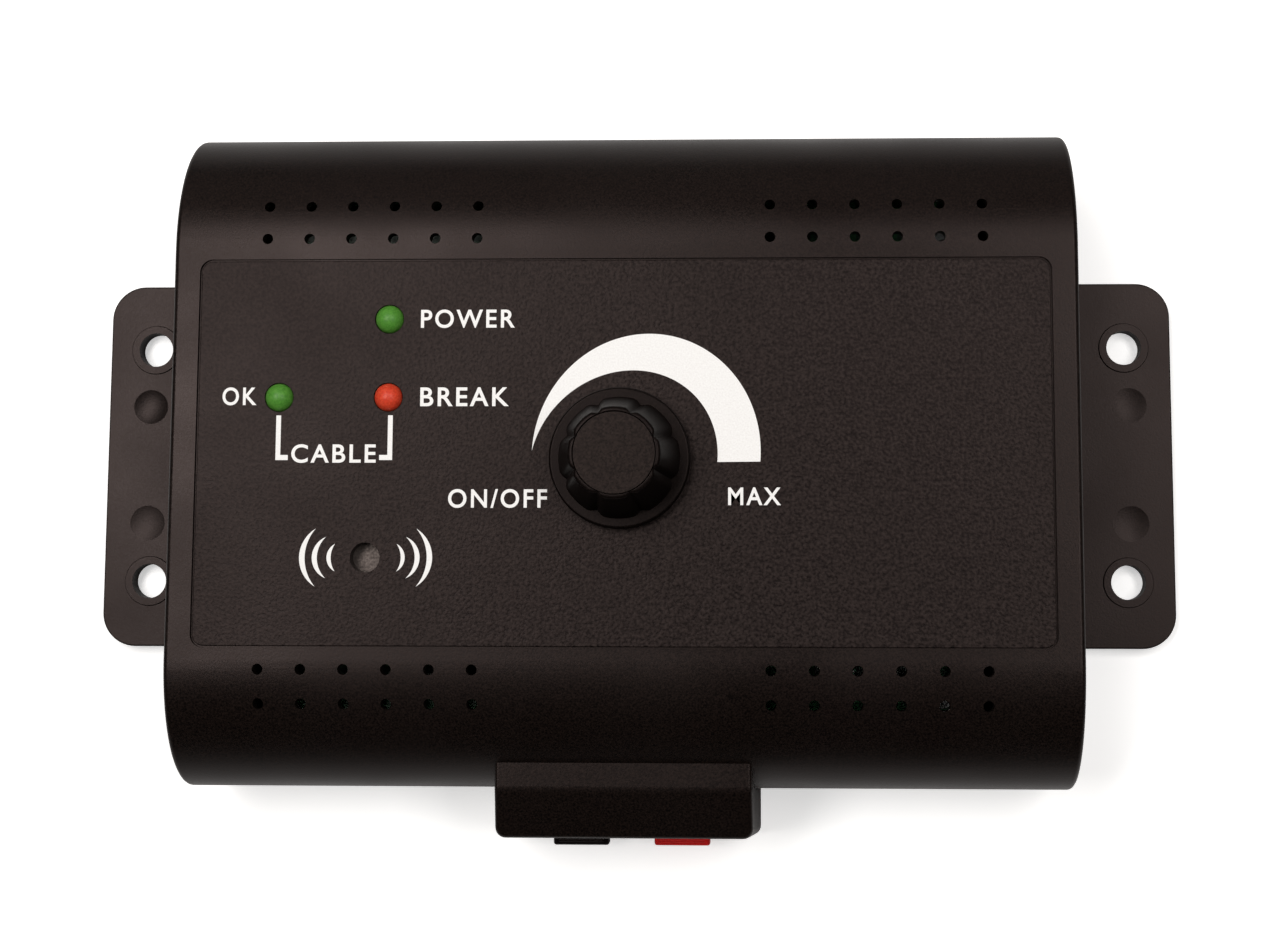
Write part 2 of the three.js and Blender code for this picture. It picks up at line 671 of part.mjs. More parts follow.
// A can capacitor with the rolled bead near its foot and a flat top.
function capacitor(x, y, radius, height) {
  const foot = boardTop;
  return turned(
    [
      [0, foot],
      [radius, foot],
      [radius, foot + 1.2],
      [radius - 0.4, foot + 1.7],
      [radius, foot + 2.2],
      [radius, foot + height - 0.5],
      [radius - 0.5, foot + height],
      [0, foot + height],
    ],
    x,
    y,
    24,
  );
}

function choke(x, y) {
  const foot = boardTop;
  return turned(
    [
      [0, foot],
      [6, foot],
      [6, foot + 1.4],
      [4.6, foot + 1.8],
      [4.6, foot + 7.6],
      [6, foot + 8],
      [6, foot + 9.4],
      [0, foot + 9.4],
    ],
    x,
    y,
    24,
  );
}

const SINK_X = -30;
const SINK_Y = -36;
const TAB_THICKNESS = 1.3;
const sinkScrewZ = boardTop + 11.6;

// Three-legged regulator: body, metal tab with its screw hole above it, legs into the board.
function regulator(x, y) {
  const body = block([x - 5, y - 4.4, boardTop + 3.5], [x + 5, y, boardTop + 9]);
  const tab = block([x - 5, y - TAB_THICKNESS, boardTop + 3.5], [x + 5, y, boardTop + 14]);
  const hole = barAlongY(1.6, x, sinkScrewZ, y - 3, y + 1, 12);
  const legs = [-2.54, 0, 2.54].map((side) => {
    return block([x + side - 0.4, y - 2.4, boardTop], [x + side + 0.4, y - 2, boardTop + 4]);
  });
  return join([body, tab, ...legs]).subtract(hole);
}

function heatSink(x, y) {
  const back = block([x - 9, y, boardTop], [x + 9, y + 1.8, boardTop + 14]);
  const fins = [-9, -5.8, -2.6, 1.2, 4.4, 7.6].map((side) => {
    return block([x + side, y + 1, boardTop], [x + side + 1.4, y + 9, boardTop + 14]);
  });
  const hole = barAlongY(1.5, x, sinkScrewZ, y - 1, y + 3, 12);
  return join([back, ...fins]).subtract(hole);
}

function fuseClip(x, y) {
  const base = block([x - 2, y - 3, boardTop], [x + 2, y + 3, boardTop + 0.5]);
  const jaws = [-1, 1].map((side) => {
    const near = y + side * 2.75;
    return block([x - 2, near - 0.25, boardTop], [x + 2, near + 0.25, boardTop + 6]);
  });
  return join([base, ...jaws]);
}

node("circuit_board", board(), boardGreen);
node("microcontroller", chip(-22, 26, 11.5, 3.2), moulded);
node("amplifier_chip", chip(-24, 4, 9.6, 3.2), moulded);
node("driver_chip", chip(-22, -14, 4.9, 3.2), moulded);
node("crystal", plate(rounded(5.2, 2.2, 2.1), 0, 3.6).translate([-24, 14, boardTop + 0.1]), nickel);
node("capacitor_large", capacitor(0, 36, 6.4, 15), sleeveBlack);
node("capacitor_middle", capacitor(15, 38, 5, 12), sleeveBlack);
node("capacitor_small", capacitor(27, 40, 4, 11), sleeveBlack);
const FILM_CAP = { x: 18, y: 20, halfWidth: 6.5, halfLength: 3 };
const filmCapLow = [FILM_CAP.x - FILM_CAP.halfWidth, FILM_CAP.y - FILM_CAP.halfLength];
const filmCapHigh = [FILM_CAP.x + FILM_CAP.halfWidth, FILM_CAP.y + FILM_CAP.halfLength];
node("film_capacitor", block([...filmCapLow, boardTop], [...filmCapHigh, boardTop + 11]), filmYellow);
node("choke", choke(16, -30), ferrite);
node("regulator", regulator(SINK_X, SINK_Y), moulded);
node("heat_sink", heatSink(SINK_X, SINK_Y), aluminium);
const sinkScrewSeat = SINK_Y - TAB_THICKNESS;
const sinkScrewHead = barAlongY(2.4, SINK_X, sinkScrewZ, sinkScrewSeat - 1.8, sinkScrewSeat, 16);
const sinkScrewEnd = barAlongY(1.35, SINK_X, sinkScrewZ, sinkScrewSeat - 0.1, SINK_Y + 3, 12);
node("sink_screw", sinkScrewHead.add(sinkScrewEnd), zinc);
node("fuse_clip_1", fuseClip(36, -38), nickel);
node("fuse_clip_2", fuseClip(52, -38), nickel);
const FUSE = { y: -38, z: boardTop + 3.4, low: 34, high: 54 };
node("fuse", barAlongX(2.45, FUSE.y, FUSE.z, FUSE.low, FUSE.high, 16), fuseGlass);

// ---------------------------------------------------------------- low-voltage inlet

function inlet() {
  const back = -wallInnerY + LIP_WALL + SHELL_GAP + 0.3;
  const low = [INLET_X - INLET_COLLAR_RADIUS, back, BOARD_LOW_Z - INLET_BODY_HEIGHT];
  const high = [INLET_X + INLET_COLLAR_RADIUS, back + INLET_BODY_LENGTH, BOARD_LOW_Z];
  const body = block(low, high);
  const collar = barAlongY(INLET_COLLAR_RADIUS, INLET_X, INLET_Z, -bodyY, back + 1);
  const bore = barAlongY(INLET_BORE_RADIUS, INLET_X, INLET_Z, -bodyY - 1, back + 8);
  return body.add(collar).subtract(bore);
}

node("inlet", inlet(), moulded);
const pinBack = -wallInnerY + LIP_WALL + SHELL_GAP + 8.3;
const pin = barAlongY(INLET_PIN_RADIUS, INLET_X, INLET_Z, -bodyY + 1.2, pinBack, 16);
node("inlet_pin", pin, nickel);

// ---------------------------------------------------------------- spring terminal

function terminalBlock() {
  const bodyLow = [-BLOCK_HALF_WIDTH, -bodyY, BLOCK_LOW_Z];
  const body = block(bodyLow, [BLOCK_HALF_WIDTH, BLOCK_BACK_Y, BLOCK_HIGH_Z]);
  const flangeLow = [-FLANGE_HALF_WIDTH, flangeFace, HOOD_BACK];
  const flange = block(flangeLow, [FLANGE_HALF_WIDTH, -bodyY, BAY_LEDGE - SHELL_GAP]);
  const cuts = [];
  for (const side of [-1, 1]) {
    const x = side * LEVER_X;
    const half = LEVER_WIDTH / 2 + LEVER_GAP;
    cuts.push(block([x - half, flangeFace + 1.6, 4.2], [x + half, -50, 15.8]));
    cuts.push(block([x - half, flangeFace - 1, 3.4], [x + half, flangeFace + 2, 9.4]));
    cuts.push(barAlongY(WIRE_HOLE / 2, x, WIRE_HOLE_Z, flangeFace - 1, flangeFace + 2, 16));
    const pinRoom = half + 0.9;
    const pinHole = PIVOT_RADIUS + PIVOT_CLEARANCE;
    cuts.push(barAlongX(pinHole, PIVOT_Y, PIVOT_Z, x - pinRoom, x + pinRoom, 16));
    const screwX = side * TERMINAL_SCREW_X;
    cuts.push(barAlongY(1.4, screwX, TERMINAL_SCREW_Z, flangeFace - 1, -bodyY + 1, 12));
  }
  return body.add(flange).subtract(join(cuts));
}

// A lever: thumb tab out to the tip, hub on the pivot and a clamping arm up behind the wire hole.
function lever(x) {
  const low = PIVOT_Z - 2;
  const tab = outline([
    [PIVOT_Y, low],
    [LEVER_TIP_Y + 3, low - 0.4],
    [LEVER_TIP_Y + 0.3, low - 1.2],
    [LEVER_TIP_Y, low - 0.9],
    [LEVER_TIP_Y, low + LEVER_THICKNESS - 0.9],
    [LEVER_TIP_Y + 0.4, low + LEVER_THICKNESS - 0.5],
    [PIVOT_Y, low + LEVER_THICKNESS],
  ]);
  const arm = outline([
    [PIVOT_Y - 1, PIVOT_Z],
    [PIVOT_Y + 1, PIVOT_Z],
    [PIVOT_Y + 1, 15],
    [PIVOT_Y - 1, 15],
  ]);
  const half = LEVER_WIDTH / 2;
  const blade = along(tab, x - half, x + half);
  const upright = along(arm, x - half, x + half);
  const hub = barAlongX(2, PIVOT_Y, PIVOT_Z, x - half, x + half, 16);
  const pins = barAlongX(PIVOT_RADIUS, PIVOT_Y, PIVOT_Z, x - half - 0.9, x + half + 0.9, 16);
  return join([hub, blade, upright, pins]);
}

// Folded strip behind the lever: foot along the floor, riser, and a nose leaning on the arm.
function contactSpring(x) {
  const strip = outline([
    [-50.3, 4.5],
    [-50.3, 15.2],
    [-54.6, 13.6],
    [-54.6, 13],
    [-50.9, 14.3],
    [-50.9, 5.1],
    [-54.4, 5.1],
    [-54.4, 4.5],
  ]);
  return along(strip, x - 3.5, x + 3.5);
}

function terminalScrew(x) {
  const z = TERMINAL_SCREW_Z;
  const head = barAlongY(2.1, x, z, flangeFace - 1.5, flangeFace, 16);
  const slot = block([x - 3, flangeFace - 3, z - 0.3], [x + 3, flangeFace - 0.7, z + 0.3]);
  return head.subtract(slot).add(barAlongY(1.15, x, z, flangeFace, -wallInnerY, 12));
}

node("terminal_block", terminalBlock(), moulded);
node("lever_black", lever(-LEVER_X), moulded, leverGroup);
node("lever_red", lever(LEVER_X), leverRed, leverGroup);
node("contact_spring_black", contactSpring(-LEVER_X), nickel);
node("contact_spring_red", contactSpring(LEVER_X), nickel);
node("terminal_screw_left", terminalScrew(-TERMINAL_SCREW_X), zinc);
node("terminal_screw_right", terminalScrew(TERMINAL_SCREW_X), zinc);

// Inner wires from the back of the terminal block to the underside of the board.
function innerWire(x, endX) {
  const path = new THREE.CatmullRomCurve3([
    new THREE.Vector3(x, BLOCK_BACK_Y + 0.3, 9),
    new THREE.Vector3(x, BLOCK_BACK_Y + 6, 9),
    new THREE.Vector3((x + endX) / 2, BLOCK_BACK_Y + 14, 8),
    new THREE.Vector3(endX, BLOCK_BACK_Y + 20, 11),
    new THREE.Vector3(endX, BLOCK_BACK_Y + 20.5, BOARD_LOW_Z - 0.3),
  ]);
  const section = new THREE.Shape().absarc(0, 0, 0.9, 0, Math.PI * 2);
  const settings = { steps: 20, curveSegments: 4, extrudePath: path };
  return solid(new THREE.ExtrudeGeometry(section, settings));
}

node("inner_wire_black", innerWire(-LEVER_X, -14), sleeveBlack);
node("inner_wire_red", innerWire(LEVER_X, 4), wireRed);

export default root;
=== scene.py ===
import math

import bmesh
import bpy
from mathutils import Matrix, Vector


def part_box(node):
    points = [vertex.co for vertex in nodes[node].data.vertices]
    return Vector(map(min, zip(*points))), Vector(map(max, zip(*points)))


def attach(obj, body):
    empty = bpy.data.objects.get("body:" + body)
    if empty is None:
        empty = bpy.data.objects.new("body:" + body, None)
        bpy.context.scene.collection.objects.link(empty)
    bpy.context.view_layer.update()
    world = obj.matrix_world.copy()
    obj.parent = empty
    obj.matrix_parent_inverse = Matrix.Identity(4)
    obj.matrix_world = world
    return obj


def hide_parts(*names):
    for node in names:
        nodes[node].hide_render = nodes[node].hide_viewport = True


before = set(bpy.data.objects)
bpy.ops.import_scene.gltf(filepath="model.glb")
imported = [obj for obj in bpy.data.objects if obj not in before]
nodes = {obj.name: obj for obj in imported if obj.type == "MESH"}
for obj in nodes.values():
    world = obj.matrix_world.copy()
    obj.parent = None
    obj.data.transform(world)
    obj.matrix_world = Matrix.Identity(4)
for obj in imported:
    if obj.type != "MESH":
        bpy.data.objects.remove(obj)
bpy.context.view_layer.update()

# ------------------------------------------------------------------ camera, light and floor
# The box lies on its back on a pale table. Two softboxes stand high on its left and right, the
# left one the stronger, and a weak strip light beyond its top edge picks out the upper nose.

MM = 0.001


def linear(colour):
    """A #rrggbb colour as the linear values that shaders take."""
    parts = [int(colour[i : i + 2], 16) / 255 for i in (1, 3, 5)]
    return [c / 12.92 if c <= 0.04045 else ((c + 0.055) / 1.055) ** 2.4 for c in parts] + [1.0]


def add_node(material, kind, settings=None, links=None):
    """Adds a shader node, sets its sockets and options, and joins its inputs to other nodes."""
    node = material.node_tree.nodes.new(kind)
    for name, value in (settings or {}).items():
        if name == "stops":
            elements = node.color_ramp.elements
            elements[0].position, elements[0].color = value[0][0], linear(value[0][1])
            elements[1].position, elements[1].color = value[1][0], linear(value[1][1])
            for place, colour in value[2:]:
                elements.new(place).color = linear(colour)
        elif isinstance(name, int) or name in node.inputs:
            node.inputs[name].default_value = value
        else:
            setattr(node, name, value)
    for name, (source, output) in (links or {}).items():
        material.node_tree.links.new(source.outputs[output], node.inputs[name])
    return node


def new_material(name):
    material = bpy.data.materials.new(name)
    material.use_nodes = True
    material.node_tree.nodes.clear()
    return material


def finish_material(material, settings, links):
    """The principled shader with these settings and links, joined to the output."""
    shader = add_node(material, "ShaderNodeBsdfPrincipled", settings, links)
    add_node(material, "ShaderNodeOutputMaterial", None, {"Surface": (shader, "BSDF")})
    return material


camera_data = bpy.data.cameras.new("camera")
camera_data.lens = 53.127
camera_data.sensor_width = 36.0
camera_data.shift_x = -0.0385
camera_data.shift_y = -0.0644
camera = bpy.data.objects.new("camera", camera_data)
camera.location = (0.02365, -0.02351, 0.37116)
camera.rotation_euler = (0.1031, 0.0339, 0.0019)
bpy.context.collection.objects.link(camera)
bpy.context.scene.camera = camera

SOFTBOXES = (("softbox_left", 4.3, (-0.27, 0.14, 0.75)), ("softbox_right", 2.8, (0.34, 0.12, 0.75)))
for name, energy, place in SOFTBOXES:
    softbox_data = bpy.data.lights.new(name, "AREA")
    softbox_data.shape = "RECTANGLE"
    softbox_data.size = 0.55
    softbox_data.size_y = 0.22
    softbox_data.energy = energy
    softbox_data.color = (1.0, 0.97, 0.95)
    softbox = bpy.data.objects.new(name, softbox_data)
    softbox.location = place
    aim = Vector((0.0, 0.0, 0.02)) - softbox.location
    softbox.rotation_euler = aim.to_track_quat("-Z", "Y").to_euler()
    bpy.context.collection.objects.link(softbox)

strip_data = bpy.data.lights.new("strip", "AREA")
strip_data.shape = "RECTANGLE"
strip_data.size = 0.9
strip_data.size_y = 0.35
strip_data.energy = 0.4
strip_data.color = (1.0, 0.93, 0.89)
strip = bpy.data.objects.new("strip", strip_data)
strip.location = (-0.1, 0.6, 0.34)
aim = Vector((0.0, 0.05, 0.03)) - strip.location
strip.rotation_euler = aim.to_track_quat("-Z", "Y").to_euler()
bpy.context.collection.objects.link(strip)

world = bpy.data.worlds.new("studio")
world.use_nodes = True
world.node_tree.nodes["Background"].inputs["Color"].default_value = (1.0, 0.96, 0.93, 1.0)
world.node_tree.nodes["Background"].inputs["Strength"].default_value = 0.02
bpy.context.scene.world = world
bpy.context.scene.view_settings.view_transform = "Standard"

bpy.ops.object.select_all(action="DESELECT")
bpy.ops.mesh.primitive_plane_add(size=6.0, location=(0.0, 0.0, -0.4 * MM))
floor = bpy.context.object
floor.name = "floor"
# White lacquered table: even and matt, lit up a little so that it stays paper white.
table_lacquer = new_material("white_table_lacquer")
floor_coords = add_node(table_lacquer, "ShaderNodeTexCoord")
floor_mottle = add_node(
    table_lacquer, "ShaderNodeTexNoise", {"Scale": 9.0, "Detail": 2.0}, {"Vector": (floor_coords, "Object")}
)
floor_tint = add_node(
    table_lacquer,
    "ShaderNodeValToRGB",
    {"stops": [(0.3, "#f7f7f6"), (0.7, "#fbfbfa")]},
    {"Fac": (floor_mottle, "Fac")},
)
# The glow only whitens the table itself: it throws less light back up at the box than it shows.
floor_rays = add_node(table_lacquer, "ShaderNodeLightPath")
floor_glow = add_node(
    table_lacquer, "ShaderNodeMath", {"operation": "MULTIPLY", 1: 0.5}, {0: (floor_rays, "Is Camera Ray")}
)
floor_shade = add_node(
    table_lacquer,
    "ShaderNodeMixRGB",
    {"Color1": (0.75, 0.75, 0.75, 1.0)},
    {"Fac": (floor_rays, "Is Camera Ray"), "Color2": (floor_tint, "Color")},
)
finish_material(
    table_lacquer,
    {"Roughness": 0.8, "Specular IOR Level": 0.2, "Emission Color": (1, 1, 1, 1)},
    {"Base Color": (floor_shade, "Color"), "Emission Strength": (floor_glow, "Value")},
)
floor.data.materials.append(table_lacquer)

# ------------------------------------------------------------------ back case
# The tray that lies on the wall, injection moulded in black ABS with a spark-eroded grain.
# Its two ears, with pads round the screw holes and shallow ejector dimples, are moulded on.


def only(*pieces):
    """Selects just these pieces, the first of them active."""
    bpy.ops.object.select_all(action="DESELECT")
    for piece in pieces:
        piece.select_set(True)
    bpy.context.view_layer.objects.active = pieces[0]


def settle(name):
    """Names the object just added and moves its place, turn and size into its mesh."""
    piece = bpy.context.object
    piece.name = piece.data.name = name
    only(piece)
    bpy.ops.object.transform_apply(location=True, rotation=True, scale=True)
    return piece


def cube(name, low, high):
    """A box between two corners, in millimetres."""
    bpy.ops.object.select_all(action="DESELECT")
    middle = [(a + b) / 2 * MM for a, b in zip(low, high)]
    size = [(b - a) * MM for a, b in zip(low, high)]
    bpy.ops.mesh.primitive_cube_add(size=1.0, location=middle, scale=size)
    return settle(name)


TURNS = {"x": (0.0, math.pi / 2, 0.0), "y": (math.pi / 2, 0.0, 0.0), "z": (0.0, 0.0, 0.0)}


def rod(name, radius, centre, low, high, axis="z", sides=48):
    """A round bar along an axis, in millimetres: centre gives its other two coordinates."""
    bpy.ops.object.select_all(action="DESELECT")
    place = list(centre)
    place.insert("xyz".index(axis), (low + high) / 2)
    bpy.ops.mesh.primitive_cylinder_add(
        vertices=sides,
        radius=radius * MM,
        depth=(high - low) * MM,
        location=[p * MM for p in place],
        rotation=TURNS[axis],
    )
    return settle(name)


def places(element):
    """Where an edge's or a face's corners are, in millimetres."""
    return [corner.co / MM for corner in element.verts]


def pick(piece, kind, test):
    """Opens the piece for editing with just the edges, faces or corners that pass the test selected."""
    only(piece)
    bpy.ops.object.mode_set(mode="EDIT")
    bpy.ops.mesh.select_mode(type=kind)
    bpy.ops.mesh.select_all(action="DESELECT")
    mesh = bmesh.from_edit_mesh(piece.data)
    for element in {"EDGE": mesh.edges, "FACE": mesh.faces, "VERT": mesh.verts}[kind]:
        if test(element):
            element.select_set(True)
    mesh.select_flush_mode()
    bmesh.update_edit_mesh(piece.data)


def close():
    bpy.ops.object.mode_set(mode="OBJECT")


def round_edges(piece, radius, segments, test):
    """Rounds the edges whose two ends pass the test."""
    pick(piece, "EDGE", lambda edge: test(*places(edge)))
    bpy.ops.mesh.bevel(
        offset=radius * MM, offset_type="OFFSET", segments=segments, profile=0.5, affect="EDGES"
    )
    close()


def upright(a, b):
    return abs(a.x - b.x) < 0.01 and abs(a.y - b.y) < 0.01


def slice_off(piece, place, normal):
    """Cuts the piece on a plane, drops what lies in front of it and closes the cut."""
    pick(piece, "FACE", lambda face: True)
    bpy.ops.mesh.bisect(
        plane_co=[p * MM for p in place],
        plane_no=normal,
        use_fill=True,
        clear_outer=True,
        clear_inner=False,
    )
    close()


def dish(name, radius, centre, height):
    """The lowest cap of a ball whose middle is at this height, for cutting a shallow dish."""
    bpy.ops.object.select_all(action="DESELECT")
    place = (centre[0] * MM, centre[1] * MM, height * MM)
    bpy.ops.mesh.primitive_uv_sphere_add(segments=64, ring_count=96, radius=radius * MM, location=place)
    cap = settle(name)
    slice_off(cap, (0, 0, 4), (0, 0, 1))
    return cap


def combine(piece, others, operation):
    """Joins the other solids to the piece, or cuts them out of it. They are used up."""
    only(*others)
    if len(others) > 1:
        bpy.ops.object.join()
    other = bpy.context.view_layer.objects.active
    only(piece)
    step = piece.modifiers.new("solid", "BOOLEAN")
    step.object, step.operation, step.solver = other, operation, "EXACT"
    bpy.ops.object.modifier_apply(modifier=step.name)
    bpy.data.objects.remove(other)


def soften(piece, width, segments=2, angle=32.0):
    """Takes the sharpness off every hard edge, then shades the piece smooth with flat faces kept flat."""
    only(piece)
    bpy.ops.object.mode_set(mode="EDIT")
    bpy.ops.mesh.select_all(action="SELECT")
    bpy.ops.mesh.remove_doubles(threshold=0.002 * MM)
    close()
    if width:
        step = piece.modifiers.new("edges", "BEVEL")
        step.width, step.segments, step.limit_method = width * MM, segments, "ANGLE"
        step.angle_limit = math.radians(angle)
        bpy.ops.object.modifier_apply(modifier=step.name)
    bpy.ops.object.shade_smooth_by_angle(angle=math.radians(angle + 8))
    step = piece.modifiers.new("normals", "WEIGHTED_NORMAL")
    step.keep_sharp = True
    bpy.ops.object.modifier_apply(modifier=step.name)


def fit(piece, material, slot, body, *stands_for):
    """Gives the piece its material and says which CAD body it rides on and which nodes it stands for."""
    piece.data.materials.clear()
    piece.data.materials.append(material)
    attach(piece, body)
    if stands_for:
        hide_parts(*stands_for)


def moulded(name, dark, light, roughness, grain, depth, shine, tint=(1.0, 0.8, 0.76, 1.0)):
    """Dyed plastic with an even moulded grain: grain and depth are the texture's size, in millimetres."""
    material = new_material(name)
    coords = add_node(material, "ShaderNodeTexCoord")
    pits = add_node(
        material,
        "ShaderNodeTexNoise",
        {"Scale": 1 / (grain * MM), "Detail": 3.0, "Roughness": 0.55},
        {"Vector": (coords, "Object")},
    )
    # Flow marks: slow changes, some 25 mm across, in how the melt took the tool's surface.
    flow = add_node(
        material, "ShaderNodeTexNoise", {"Scale": 1 / (25 * MM), "Detail": 2.0}, {"Vector": (coords, "Object")}
    )
    dye = add_node(
        material, "ShaderNodeValToRGB", {"stops": [(0.35, dark), (0.68, light)]}, {"Fac": (pits, "Fac")}
    )
    # The grain's high spots scatter more than its low ones.
    wear = add_node(
        material,
        "ShaderNodeMath",
        {"operation": "MULTIPLY_ADD", 1: 0.8},
        {0: (pits, "Fac"), 2: (flow, "Fac")},
    )
    gloss = add_node(
        material,
        "ShaderNodeMapRange",
        {"From Min": 0.6, "From Max": 1.2, "To Min": roughness - 0.07, "To Max": roughness + 0.07},
        {"Value": (wear, "Value")},
    )
    relief = add_node(
        material, "ShaderNodeBump", {"Strength": 1.0, "Distance": depth * MM}, {"Height": (pits, "Fac")}
    )
    return finish_material(
        material,
        {"IOR": 1.5, "Specular IOR Level": shine, "Specular Tint": tint},
        {"Base Color": (dye, "Color"), "Roughness": (gloss, "Result"), "Normal": (relief, "Normal")},
    )


# Black ABS off a spark-eroded tool: a fine dry grain that scatters the light into a broad sheen.
case_abs = moulded("spark_eroded_black_abs", "#040303", "#19120f", 0.38, 0.34, 0.02, 0.18)

BODY_X = 80.25
BODY_Y = 59.9
PARTING = 20.0
WALL = 2.4
POSTS = [(-70, 48), (70, 48), (-70, -48), (70, -48)]
BOARD_POSTS = [(-57, 43), (57, 43), (-57, -43), (57, -43)]
ear_low, ear_high = (Vector(corner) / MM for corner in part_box("bottom_shell"))
HOLES = [(-94.7, 22.65), (94.7, 22.65), (-94.7, -22.65), (94.7, -22.65)]
DIMPLES = [(-95.5, 11.4), (95.5, 11.4), (-95.5, -11.4), (95.5, -11.4)]
EAR_HALF_LENGTH = 35.25
EAR_TOP = 3.2

back_case = cube("back_case", (-BODY_X, -BODY_Y, 0), (BODY_X, BODY_Y, PARTING))
round_edges(back_case, 1.8, 6, lambda a, b: a.z < 0.1 and b.z < 0.1 and abs(a.x - b.x) > 1)
round_edges(back_case, 1.0, 4, lambda a, b: upright(a, b) and min(abs(a.x), abs(a.y)) > 50)
ears = cube("ears", (ear_low.x, -EAR_HALF_LENGTH, 0), (ear_high.x, EAR_HALF_LENGTH, EAR_TOP))
round_edges(ears, 6.5, 14, upright)
round_edges(ears, 0.3, 3, lambda a, b: min(a.z, b.z) > 3.1)
combine(back_case, [ears], "UNION")
pads = [rod("pad", 4.8, place, 1, 3.5) for place in HOLES]
for pad in pads:
    round_edges(pad, 0.12, 2, lambda a, b: min(a.z, b.z) > 3.4)
combine(back_case, pads, "UNION")
room = cube("room", (-BODY_X + WALL, -BODY_Y + WALL, WALL), (BODY_X - WALL, BODY_Y - WALL, 25))
combine(room, [rod("post", 4.2, place, 0, 26) for place in POSTS], "DIFFERENCE")
combine(room, [rod("post", 3.2, place, 0, 18) for place in BOARD_POSTS], "DIFFERENCE")
combine(back_case, [room], "DIFFERENCE")
window = cube("window", (-17, -BODY_Y - 1, 3.4), (17, -BODY_Y + 4, 16.8))
inlet_hole = rod("inlet_hole", 4.7, (47, 12.5), -BODY_Y - 1, -BODY_Y + 4, "y")
bores = [rod("bore", 3.3, place, -1, 5, sides=64) for place in HOLES]
# The first dimple is 0.5 mm deep, the others 0.3 mm.
dimples = [dish("dimple", 12.5, DIMPLES[0], 15.2)]
dimples += [dish("dimple", 20.6, place, 23.5) for place in DIMPLES[1:]]
recesses = [rod("recess", 3.1, place, -1, 12) for place in POSTS]
combine(back_case, [window, inlet_hole, *bores, *dimples, *recesses], "DIFFERENCE")
combine(back_case, [rod("clearance", 1.7, place, 2, 21) for place in POSTS], "DIFFERENCE")
soften(back_case, 0.15)
fit(back_case, case_abs, "case_plastic", "root", "bottom_shell")

# ------------------------------------------------------------------ circuit board and its parts
# A single-sided glass-epoxy board with green solder resist, held by four screws. The parts on it
# are ordinary through-hole ones: chips, can capacitors, a choke, a regulator on its heat sink.


def coat(names, material):
    """Puts the material on CAD nodes whose shape is right as it is."""
    for name in names:
        node = nodes[name]
        node.data.materials.clear()
        node.data.materials.append(material)


# Solder resist over copper: glossy green, paler where it lies on a track.
solder_resist = new_material("green_solder_resist")
board_coords = add_node(solder_resist, "ShaderNodeTexCoord")
tracks = add_node(
    solder_resist,
    "ShaderNodeTexBrick",
    {
        "Scale": 1.0,
        "Brick Width": 7.6 * MM,
        "Row Height": 2.54 * MM,
        "Mortar Size": 0.5 * MM,
        "Mortar Smooth": 0.2,
    },
    {"Vector": (board_coords, "Object")},
)
for socket, colour in (("Color1", "#12502c"), ("Color2", "#17592f"), ("Mortar", "#2a7a45")):
    tracks.inputs[socket].default_value = linear(colour)
weave = add_node(
    solder_resist,
    "ShaderNodeTexNoise",
    {"Scale": 1 / (0.6 * MM), "Detail": 2.0},
    {"Vector": (board_coords, "Object")},
)
resist_relief = add_node(
    solder_resist, "ShaderNodeBump", {"Strength": 0.6, "Distance": 0.02 * MM}, {"Height": (weave, "Fac")}
)
finish_material(
    solder_resist,
    {"Roughness": 0.32, "IOR": 1.5},
    {"Base Color": (tracks, "Color"), "Normal": (resist_relief, "Normal")},
)
coat(["circuit_board"], solder_resist)

# Glass-filled epoxy of chip bodies and control mouldings: charcoal, satin, faintly gritty.
black_epoxy = moulded("black_moulding_compound", "#040303", "#0b0908", 0.42, 0.25, 0.006, 0.25)
coat(["microcontroller", "amplifier_chip", "driver_chip", "regulator", "control_switch"], black_epoxy)
coat(["lamp_spacer_power", "lamp_spacer_ok", "lamp_spacer_break"], black_epoxy)

# Shrunk PVC sleeve on the can capacitors and the black wire: smooth and rather glossy.
pvc_sleeve = moulded("black_pvc_sleeve", "#0b0c10", "#15161b", 0.3, 0.8, 0.004, 0.4, (1, 1, 1, 1))
coat(["capacitor_large", "capacitor_middle", "capacitor_small", "inner_wire_black"], pvc_sleeve)

# Red PVC wire insulation.
pvc_red = moulded("red_pvc_insulation", "#8e1a14", "#a5241b", 0.38, 0.8, 0.004, 0.4, (1, 1, 1, 1))
coat(["inner_wire_red"], pvc_red)

# Epoxy-filled box of the film capacitor: mustard yellow with the grain of the cast fill.
yellow_epoxy = moulded("yellow_epoxy_case", "#a8761a", "#bd8a2a", 0.4, 0.4, 0.01, 0.4, (1, 1, 1, 1))
coat(["film_capacitor"], yellow_epoxy)

# Choke: enamelled copper wound over a ferrite bobbin, the turns 0.4 mm apart.
wound_copper = new_material("enamelled_copper_winding")
coil_coords = add_node(wound_copper, "ShaderNodeTexCoord")
turns = add_node(
    wound_copper,
    "ShaderNodeTexWave",
    {"bands_direction": "Z", "Scale": 1 / (0.4 * MM) / 20, "Distortion": 0.4, "Detail": 1.0},
    {"Vector": (coil_coords, "Object")},
)
# The copper's colour runs darker in the grooves between the turns, on the same wave as the relief: painted
# shade.
enamel = add_node(
    wound_copper,
    "ShaderNodeValToRGB",
    {"stops": [(0.2, "#3a1a0c"), (0.8, "#8c4a22")]},
    {"Fac": (turns, "Fac")},
)
winding_relief = add_node(
    wound_copper, "ShaderNodeBump", {"Strength": 0.8, "Distance": 0.1 * MM}, {"Height": (turns, "Fac")}
)
finish_material(
    wound_copper,
    {"Roughness": 0.3, "Metallic": 0.7},
    {"Base Color": (enamel, "Color"), "Normal": (winding_relief, "Normal")},
)
coat(["choke"], wound_copper)

